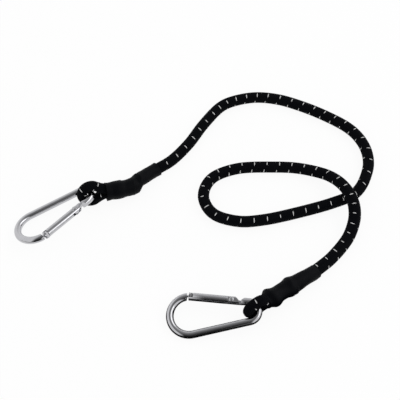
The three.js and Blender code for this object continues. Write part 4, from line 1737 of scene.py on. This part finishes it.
@dataclass
class CordEye:
    """Eye of the cord round a hook's bar, with the doubled cord behind it, its clips and its sleeve."""

    side: Side
    hook: SnapHook
    cord: ElasticCord
    slope: float
    throat: float
    mouth: float
    front_clip: float
    rear_clip: float
    tail: float
    tail_fade: float
    outline: list[tuple[float, float, float]]
    run_turn: float = 0.0
    evening: float = 0.0011
    least_wall: float = 0.0005
    bulge_spread: float = 0.0016
    tracer_shift: float = 0.0
    tracer_turn: float = 0.0
    sizes: BundleSizes = field(default_factory=BundleSizes)
    straight_steps: int = 12
    throat_steps: int = 14
    loop_steps: int = 64
    run_steps: int = 28
    run_samples: int = 32
    packed_steps: int = 84
    tapered_steps: int = 64
    evening_steps: int = 3
    sideways_seen: float = 0.839
    height_seen: float = 0.545

    def __post_init__(self) -> None:
        """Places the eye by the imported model's swing hinge and works out its loop and throat."""
        size = self.sizes
        swing = joint(f"{self.side.value}_hook_swing")
        bar = Vector(swing["axis"]).normalized()
        level = Vector((bar.y, -bar.x, 0.0)).normalized()
        up = level.cross(bar)
        slope = math.radians(self.slope)
        out = level * math.cos(slope) - up * math.sin(slope)
        basis = Matrix((out, bar, out.cross(bar))).transposed().to_4x4()
        self.place = Matrix.Translation(Vector(swing["pos_m"])) @ basis
        self.eye_radius = size.eye_cord / 2.0
        self.loop_radius = self.hook.bar_radius + size.eye_gap + self.eye_radius
        rise = self.loop_radius - size.strand_offset
        drop = self.loop_radius**2 - size.strand_offset**2
        self.throat_radius = (self.throat**2 - drop) / (2.0 * rise)
        apart = self.loop_radius + self.throat_radius
        self.wrap = math.acos((size.strand_offset + self.throat_radius) / apart)
        self.set_run()

    def set_run(self) -> None:
        """Works out the curve of the standing strand from the bundle's end to the sleeve's end."""
        line = self.cord.line
        at_start = self.side is Side.LEFT
        end = line.places[0] if at_start else line.places[-1]
        inward = line.forward[0] if at_start else -line.forward[-1]
        back = self.place.inverted()
        target = back @ (end - inward * self.sizes.face_gap)
        toward = (back.to_3x3() @ -inward).normalized()
        start = Vector((self.tail, 0.0, self.sizes.strand_offset))
        reach = (target - start).length * self.sizes.tail_reach_share
        away = level_ray(math.radians(self.run_turn))
        self.run = [start, start + away * reach, target + toward * reach, target]
        samples = [self.run_point(share) for share in spread(0.0, 1.0, self.run_samples)]
        self.run_length = lengths_gone(samples)[-1]

    def run_point(self, share: float) -> Vector:
        """Gives a point of the standing strand's curve.

        Args:
            share: Share of the way along the curve.

        Returns:
            The point in the eye's frame.
        """
        a, b, c, d = self.run
        rest = 1.0 - share
        return a * rest**3 + b * (3.0 * rest**2 * share) + c * (3.0 * rest * share**2) + d * share**3

    def run_direction(self, share: float) -> Vector:
        """Gives the direction of the standing strand's curve.

        Args:
            share: Share of the way along the curve.

        Returns:
            The direction in the eye's frame.
        """
        a, b, c, d = self.run
        rest = 1.0 - share
        slope = (b - a) * rest**2 + (c - b) * (2.0 * rest * share) + (d - c) * share**2
        return slope.normalized()

    def packing(self, place: Vector) -> float:
        """Tells how far a strand has gone from round to half of the bundle.

        Args:
            place: Point of the strand's centre line in the eye's frame.

        Returns:
            0 where it is round, 1 where it is half of the bundle.
        """
        if place.x <= 0.0:
            return 0.0
        return (self.loop_radius - abs(place.z)) / (self.loop_radius - self.sizes.strand_offset)

    def throat_station(self, turn: float, half: float) -> Station:
        """Gives a section where the loop narrows to the bundle.

        Args:
            turn: Angle gone round the throat's bend.
            half: 1 for the upper strand, -1 for the lower one.

        Returns:
            The section.
        """
        radius = self.throat_radius
        height = self.sizes.strand_offset + radius - radius * math.cos(turn)
        place = Vector((self.throat - radius * math.sin(turn), 0.0, half * height))
        out = Vector((math.sin(turn), 0.0, half * math.cos(turn)))
        return Station(place, out, ACROSS, self.packing(place), self.eye_radius)

    def loop_station(self, turn: float) -> Station:
        """Gives a section of the loop round the bar.

        Args:
            turn: Angle round the bar, 0 towards the sleeve.

        Returns:
            The section.
        """
        out = Vector((math.cos(turn), 0.0, math.sin(turn)))
        place = out * self.loop_radius
        return Station(place, out, ACROSS, self.packing(place), self.eye_radius)

    def run_station(self, share: float) -> Station:
        """Gives a section of the standing strand behind the bundle.

        Args:
            share: Share of the way along the curve.

        Returns:
            The section.
        """
        forward = self.run_direction(share)
        out = (UP - forward * UP.dot(forward)).normalized()
        packing = 1.0 - eased(share * self.run_length, 0.0, self.tail_fade)
        radius = blend(self.eye_radius, self.cord.diameter / 2.0, share)
        return Station(self.run_point(share), out, out.cross(forward), packing, radius)

    def straight_stations(self, half: float) -> list[Station]:
        """Gives the sections of a strand along the bundle, from the throat to the tail.

        Args:
            half: 1 for the upper strand, -1 for the lower one.

        Returns:
            The sections in order.
        """
        out = Vector((0.0, 0.0, half))
        height = half * self.sizes.strand_offset
        places = [Vector((x, 0.0, height)) for x in spread(self.throat, self.tail, self.straight_steps)[1:]]
        return [Station(place, out, ACROSS, 1.0, self.eye_radius) for place in places]

    def strand_stations(self) -> list[Station]:
        """Gives every section of the cord from its tail, round the loop, to the sleeve's end.

        Returns:
            The sections in order.
        """
        first = self.wrap - math.pi / 2.0
        last = -TURN - first
        turns = [self.wrap * step / self.throat_steps for step in range(self.throat_steps)]
        return [
            *reversed(self.straight_stations(-1.0)),
            *(self.throat_station(turn, -1.0) for turn in turns),
            *(self.loop_station(turn) for turn in spread(first, last, self.loop_steps)),
            *(self.throat_station(turn, 1.0) for turn in reversed(turns)),
            *self.straight_stations(1.0),
            *(self.run_station(share) for share in spread(0.0, 1.0, self.run_steps)[1:]),
        ]

    def strand_reach(self, angle: float, station: Station, inset: float) -> float:
        """Gives the distance from the strand's centre to its skin.

        Args:
            angle: Direction round the strand, 0 away from the bundle's axis.
            station: Section of the strand.
            inset: Depth below the skin.

        Returns:
            The distance.
        """
        size = self.sizes
        outer = size.bundle_radius - inset
        flat = size.strand_offset - size.strand_gap / 2.0 - inset
        lean = size.strand_offset * math.cos(angle)
        half = -lean + math.sqrt(max(0.0, lean**2 - size.strand_offset**2 + outer**2))
        if math.cos(angle) < -TINY:
            half = min(half, -flat / math.cos(angle))
        return blend(station.radius - inset, half, station.packing)

    def strand_rings(self, inset: float, turns: list[float]) -> list[Ring]:
        """Gives the sections of the eye's cord at a depth below its skin.

        Args:
            inset: Depth below the skin.
            turns: Turn of every side.

        Returns:
            The sections in the model's frame.
        """
        stations = self.strand_stations()
        rings = []
        for station, arc in zip(stations, lengths_gone([station.place for station in stations])):
            points = []
            for turn in turns:
                angle = TURN * turn
                reach = self.strand_reach(angle, station, inset)
                point = station.place + station.out * (reach * math.cos(angle))
                points.append(self.place @ (point + station.across * (reach * math.sin(angle))))
            lay = (arc - self.tracer_shift) / self.cord.lay + self.cord.float_lay
            rings.append(Ring(points, lay, self.tracer_turn - self.cord.float_turn))
        return rings

    def clip_rise(self, x: float) -> float:
        """Gives the height of the clips over the bundle, with a slope at their edges.

        Args:
            x: Place along the bundle.

        Returns:
            The height there.
        """
        flat = self.sizes.clip_width / 2.0
        near = min(abs(x - self.front_clip), abs(x - self.rear_clip))
        rise = self.sizes.clip_thickness - self.sizes.clip_seat
        return rise * (1.0 - eased(near, flat, flat + self.bulge_spread))

    def skin_height(self, x: float) -> float:
        """Gives the height of the strands' outer skin above the bundle's axis.

        Args:
            x: Place along the bundle.

        Returns:
            The height there.
        """
        if x >= self.throat:
            return self.sizes.bundle_radius
        if x >= self.throat - self.throat_radius * math.sin(self.wrap):
            turn = math.asin((self.throat - x) / self.throat_radius)
            station = self.throat_station(turn, 1.0)
            reach = self.strand_reach(0.0, station, 0.0)
            return max(self.sizes.bundle_radius, station.place.z + reach * math.cos(turn))
        height = math.sqrt(max(0.0, self.loop_radius**2 - x**2))
        return height + self.eye_radius

    def packing_at(self, x: float) -> float:
        """Tells how far the strands are packed.

        Args:
            x: Place along the bundle.

        Returns:
            0 where they are round, 1 where each is half of the bundle.
        """
        if x >= self.throat:
            return 1.0
        back = min(self.throat - x, self.throat_radius * math.sin(self.wrap))
        height = self.sizes.strand_offset + self.throat_radius - math.sqrt(self.throat_radius**2 - back**2)
        return (self.loop_radius - height) / (self.loop_radius - self.sizes.strand_offset)

    def sleeve_sections(self, turns: list[float]) -> list[tuple[Ring, Ring]]:
        """Gives the sleeve's sections, drawn over the clips and down to the cord.

        Args:
            turns: Turn of every side.

        Returns:
            The outer and the inner ring of every section, in the model's frame.
        """
        size = self.sizes
        sections = []
        for x in spread(self.mouth, self.tail, self.packed_steps):
            radius = blend(self.eye_radius, size.bundle_radius, self.packing_at(x))
            axes = (Vector((x, 0.0, 0.0)), UP, ACROSS)
            sections.append(self.sleeve_section(axes, radius, self.skin_height(x) - radius, turns, x))
        for step in range(1, self.tapered_steps + 1):
            strand = self.run_station(step / self.tapered_steps)
            place = strand.place - strand.out * (size.strand_offset * strand.packing)
            radius = blend(strand.radius, size.bundle_radius, strand.packing)
            x = self.tail + self.run_length * step / self.tapered_steps
            sections.append(self.sleeve_section((place, strand.out, strand.across), radius, 0.0, turns, x))
        return sections

    def sleeve_reach(self, x: float, parting: float) -> tuple[float, float]:
        """Gives the sleeve's mean reach at a place, and how much more it reaches to the far side.

        Args:
            x: Place along the bundle.
            parting: How far the strands stand apart there.

        Returns:
            The mean reach and the extra reach.
        """
        steps = range(-self.evening_steps, self.evening_steps + 1)
        samples = [x + self.evening * step / self.evening_steps for step in steps]
        sums = (sum(traced(self.outline, place, give=side) for place in samples) for side in (1, 2))
        far, near = (total / len(samples) for total in sums)
        return (far + near) / 2.0 - parting * self.height_seen, (far - near) / 2.0 / self.sideways_seen

    def sleeve_section(
        self,
        axes: tuple[Vector, Vector, Vector],
        radius: float,
        parting: float,
        turns: list[float],
        along: float,
    ) -> tuple[Ring, Ring]:
        """Gives one section of the sleeve, with the slight creases of shrinking.

        Args:
            axes: Centre, upward and sideways directions in the eye's frame.
            radius: Radius of what lies below the sleeve.
            parting: How far the strands below stand apart.
            turns: Turn of every side.
            along: Place along the bundle, for the outline, the map and the creases.

        Returns:
            The outer and the inner ring.
        """
        size = self.sizes
        place, out, across = axes
        least = radius + self.clip_rise(along) + self.least_wall / 4.0
        mean, lean = self.sleeve_reach(along, parting)
        skins: tuple[list[Vector], list[Vector]] = ([], [])
        for turn in turns:
            x, y = math.cos(TURN * turn), math.sin(TURN * turn)
            spot = Vector((x * size.crease_count, y * size.crease_count, along * size.crease_density))
            top = max(least + self.least_wall, mean + lean * y) + noise.noise(spot) * size.crease_depth
            bottom = min(top - self.least_wall / 2.0, max(least, top - size.sleeve_wall))
            for skin, reach in zip(skins, (top, bottom)):
                rise = reach * x
                rise += math.copysign(parting, rise) if abs(rise) > TINY else 0.0
                skin.append(self.place @ (place + out * rise + across * (reach * y)))
        return Ring(skins[0], along / self.cord.lay), Ring(skins[1], along / self.cord.lay)

    def float_places(self) -> list[Float]:
        """Places the tracer's floats on the bare part of the eye.

        Returns:
            The floats in the model's frame.
        """
        floats = []
        cord = self.cord
        turn = self.place.to_3x3()
        stations = self.strand_stations()
        gone = lengths_gone([station.place for station in stations])
        step = cord.lay / cord.rows
        for count in range(int(gone[-1] / step)):
            arc = self.tracer_shift + count * step
            index, share = reached(gone, arc)
            station, after = stations[index : index + 2]
            if station.place.x > self.mouth - cord.float_width or arc > gone[-1]:
                continue
            forward = (after.place - station.place).normalized()
            outward = swung(station.out, forward, self.tracer_turn - count / cord.rows)
            sideways = math.atan2(outward.dot(station.across), outward.dot(station.out))
            reach = self.strand_reach(sideways, station, 0.0)
            place = self.place @ station.place.lerp(after.place, share)
            floats.append(Float(place, turn @ forward, turn @ outward, reach))
        return floats

    def build(self) -> list[bpy.types.Object]:
        """Builds and dresses the eye.

        Returns:
            Its pieces.
        """
        prefix = self.side.value
        finishes = self.cord.finishes
        cover, core = self.cord.woven(f"{prefix}_eye", self.strand_rings)
        turns = even_turns(self.cord.sides)
        outer, inner = (list(rings) for rings in zip(*self.sleeve_sections(turns)))
        sleeve = pipe(f"{prefix}_sleeve", turns, outer, inner)
        tracer = self.cord.tracer.grow(f"{prefix}_eye_tracer", self.float_places(), finishes.tracer)
        sleeve.data.materials.append(finishes.sleeve)
        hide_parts(f"{prefix}_eye_braid")
        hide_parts(f"{prefix}_eye_rubber")
        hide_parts(f"{prefix}_shrink_sleeve")
        pieces = {cover: "braid", core: "rubber", sleeve: "sleeve", tracer: "braid"}
        for piece, slot in pieces.items():
            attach(piece, "cord")
        for node in ("clip_front", "clip_rear"):
            dress_node(f"{prefix}_{node}", finishes.clip)
        return list(pieces)


# Camera, light and floor


@dataclass(frozen=True)
class Camera:
    """Camera of the photograph: a long lens that looks down on the cord."""

    elevation: float = 57.0
    distance: float = 0.9
    target: tuple[float, float, float] = (0.02994, 0.05154, 0.0)
    focal_pixels: float = 1003.0
    image_pixels: float = 400.0
    sensor: float = 36.0
    far: float = 20.0

    def build(self) -> None:
        """Makes the camera and looks through it."""
        data = bpy.data.cameras.new("camera")
        data.sensor_width = self.sensor
        data.lens = self.focal_pixels / self.image_pixels * self.sensor
        data.clip_end = self.far
        rig = link("camera", data)
        tilt = math.radians(self.elevation)
        back = Vector((0.0, -math.cos(tilt), math.sin(tilt))) * self.distance
        rig.location = Vector(self.target) + back
        rig.rotation_euler = (math.pi / 2.0 - tilt, 0.0, 0.0)
        bpy.context.scene.camera = rig


@dataclass(frozen=True)
class Studio:
    """White floor under a soft light, with a dark sweep in front that only polished metal mirrors."""

    floor_size: float = 30.0
    floor_drop: float = 0.0004
    sky: float = 0.78
    key_power: float = 5.0
    key_size: tuple[float, float] = (2.0, 0.5)
    key_place: tuple[float, float, float] = (1.1, 0.25, 1.2)
    key_aim: tuple[float, float, float] = (0.03, 0.03, 0.0)
    seen_share: float = 0.92
    sweep_centre: float = 0.03
    sweep_radius: float = 0.95
    sweep_edge: float = -0.045
    sweep_steps: int = 40

    def build(self) -> None:
        """Makes the floor, the sweep, the lamp and the world."""
        bpy.context.scene.view_settings.view_transform = "Standard"
        self.make_floor()
        self.make_sweep()
        self.make_lamp()
        self.make_world()

    def make_floor(self) -> None:
        """Makes the white floor, which keeps the object's shadow."""
        half = self.floor_size / 2.0
        mesh = bpy.data.meshes.new("floor")
        corners = [(-half, -half), (half, -half), (half, half), (-half, half)]
        mesh.from_pydata([(x, y, -self.floor_drop) for x, y in corners], [], [[0, 1, 2, 3]])
        floor = link("floor", mesh)
        shade = Shade("white_floor")
        paper = shade.add("ShaderNodeBsdfDiffuse", {}, {"Color": WHITE})
        seen = shade.seen_rays() * self.seen_share
        mixed = shade.add("ShaderNodeMixShader", {}, {0: seen, 1: paper, 2: shade.glow(1.0)})
        mesh.materials.append(shade.ended(mixed))

    def make_sweep(self) -> None:
        """Makes a bent sheet, light overhead and dark in front, that shows only in polished metal."""
        high, low = SWEEP_TONES[0][0], SWEEP_TONES[-1][0]
        rows, tones = [], []
        for degrees in spread(high, low, self.sweep_steps):
            turn = math.radians(degrees)
            y = self.sweep_centre - self.sweep_radius * math.cos(turn)
            rows.append((y, self.sweep_radius * math.sin(turn)))
            tones.append(traced([(-up, tone) for up, tone in SWEEP_TONES], -degrees))
        rows[-1] = (rows[-1][0], -self.floor_drop / 2.0)
        rows.append((self.sweep_edge, -self.floor_drop / 2.0))
        tones.append(tones[-1])
        mesh = bpy.data.meshes.new("front_sweep")
        points = [(x, y, z) for y, z in rows for x, _ in SWEEP_SIDES]
        wide = len(SWEEP_SIDES)
        corners = [row * wide + side for row in range(len(rows) - 1) for side in range(wide - 1)]
        mesh.from_pydata(points, [], [(at, at + 1, at + wide + 1, at + wide) for at in corners])
        shown = [blend(tone, 1.0, share) for tone in tones for _, share in SWEEP_SIDES]
        mesh.attributes.new("tone", "FLOAT", "POINT").data.foreach_set("value", shown)
        sweep = link("front_sweep", mesh)
        shade = Shade("graduated_sweep")
        tone = shade.add("ShaderNodeAttribute", {"attribute_name": "tone"}, output="Fac")
        mesh.materials.append(shade.ended(shade.glow(tone)))
        sweep.visible_camera = False
        sweep.visible_diffuse = False
        sweep.visible_shadow = False

    def make_lamp(self) -> None:
        """Makes the long soft lamp above the right side of the cord."""
        data = bpy.data.lights.new("key", "AREA")
        data.shape = "RECTANGLE"
        data.size, data.size_y = self.key_size
        data.energy = self.key_power
        lamp = link("key", data)
        lamp.location = self.key_place
        aim = Vector(self.key_aim) - Vector(self.key_place)
        lamp.rotation_euler = aim.to_track_quat("-Z", "Y").to_euler()
        lamp.visible_camera = False

    def make_world(self) -> None:
        """Makes the plain bright surroundings."""
        world = bpy.data.worlds.new("studio")
        world.use_nodes = True
        bpy.context.scene.world = world
        nodes = Nodes(world.node_tree)
        levels = {"Value": nodes.seen_rays(), "To Min": self.sky, "To Max": 1.0}
        ground = nodes.tree.nodes["Background"].inputs
        nodes.feed(ground["Color"], WHITE)
        nodes.feed(ground["Strength"], nodes.add("ShaderNodeMapRange", {}, levels))


def main() -> None:
    """Builds the scene in order."""
    logging.basicConfig(level=logging.INFO, format="%(name)s: %(message)s")
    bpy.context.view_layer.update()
    Camera().build()
    finishes = Finishes()
    cord = ElasticCord(finishes)
    pieces = cord.build()
    left_hook = SnapHook(Side.LEFT, finishes, heading=36.7, pitch=3.4, roll=18.4, gate_side=-1.0)
    right_hook = SnapHook(Side.RIGHT, finishes, heading=1.2, pitch=5.9, roll=9.8, gate_side=1.0)
    left_eye = CordEye(
        Side.LEFT,
        left_hook,
        cord,
        slope=5.5,
        throat=0.020,
        mouth=0.013,
        front_clip=0.025,
        rear_clip=0.0377,
        tail=0.0405,
        tail_fade=0.006,
        outline=LEFT_SLEEVE,
        run_turn=18.0,
        tracer_shift=0.0008,
        tracer_turn=0.844,
    )
    right_eye = CordEye(
        Side.RIGHT,
        right_hook,
        cord,
        slope=6.3,
        throat=0.0125,
        mouth=0.0095,
        front_clip=0.016,
        rear_clip=0.036,
        tail=0.039,
        tail_fade=0.016,
        outline=RIGHT_SLEEVE,
        tracer_shift=0.0020,
    )
    for assembly in (left_hook, right_hook, left_eye, right_eye):
        pieces += assembly.build()
    Studio().build()


if __name__ == "__main__":
    main()
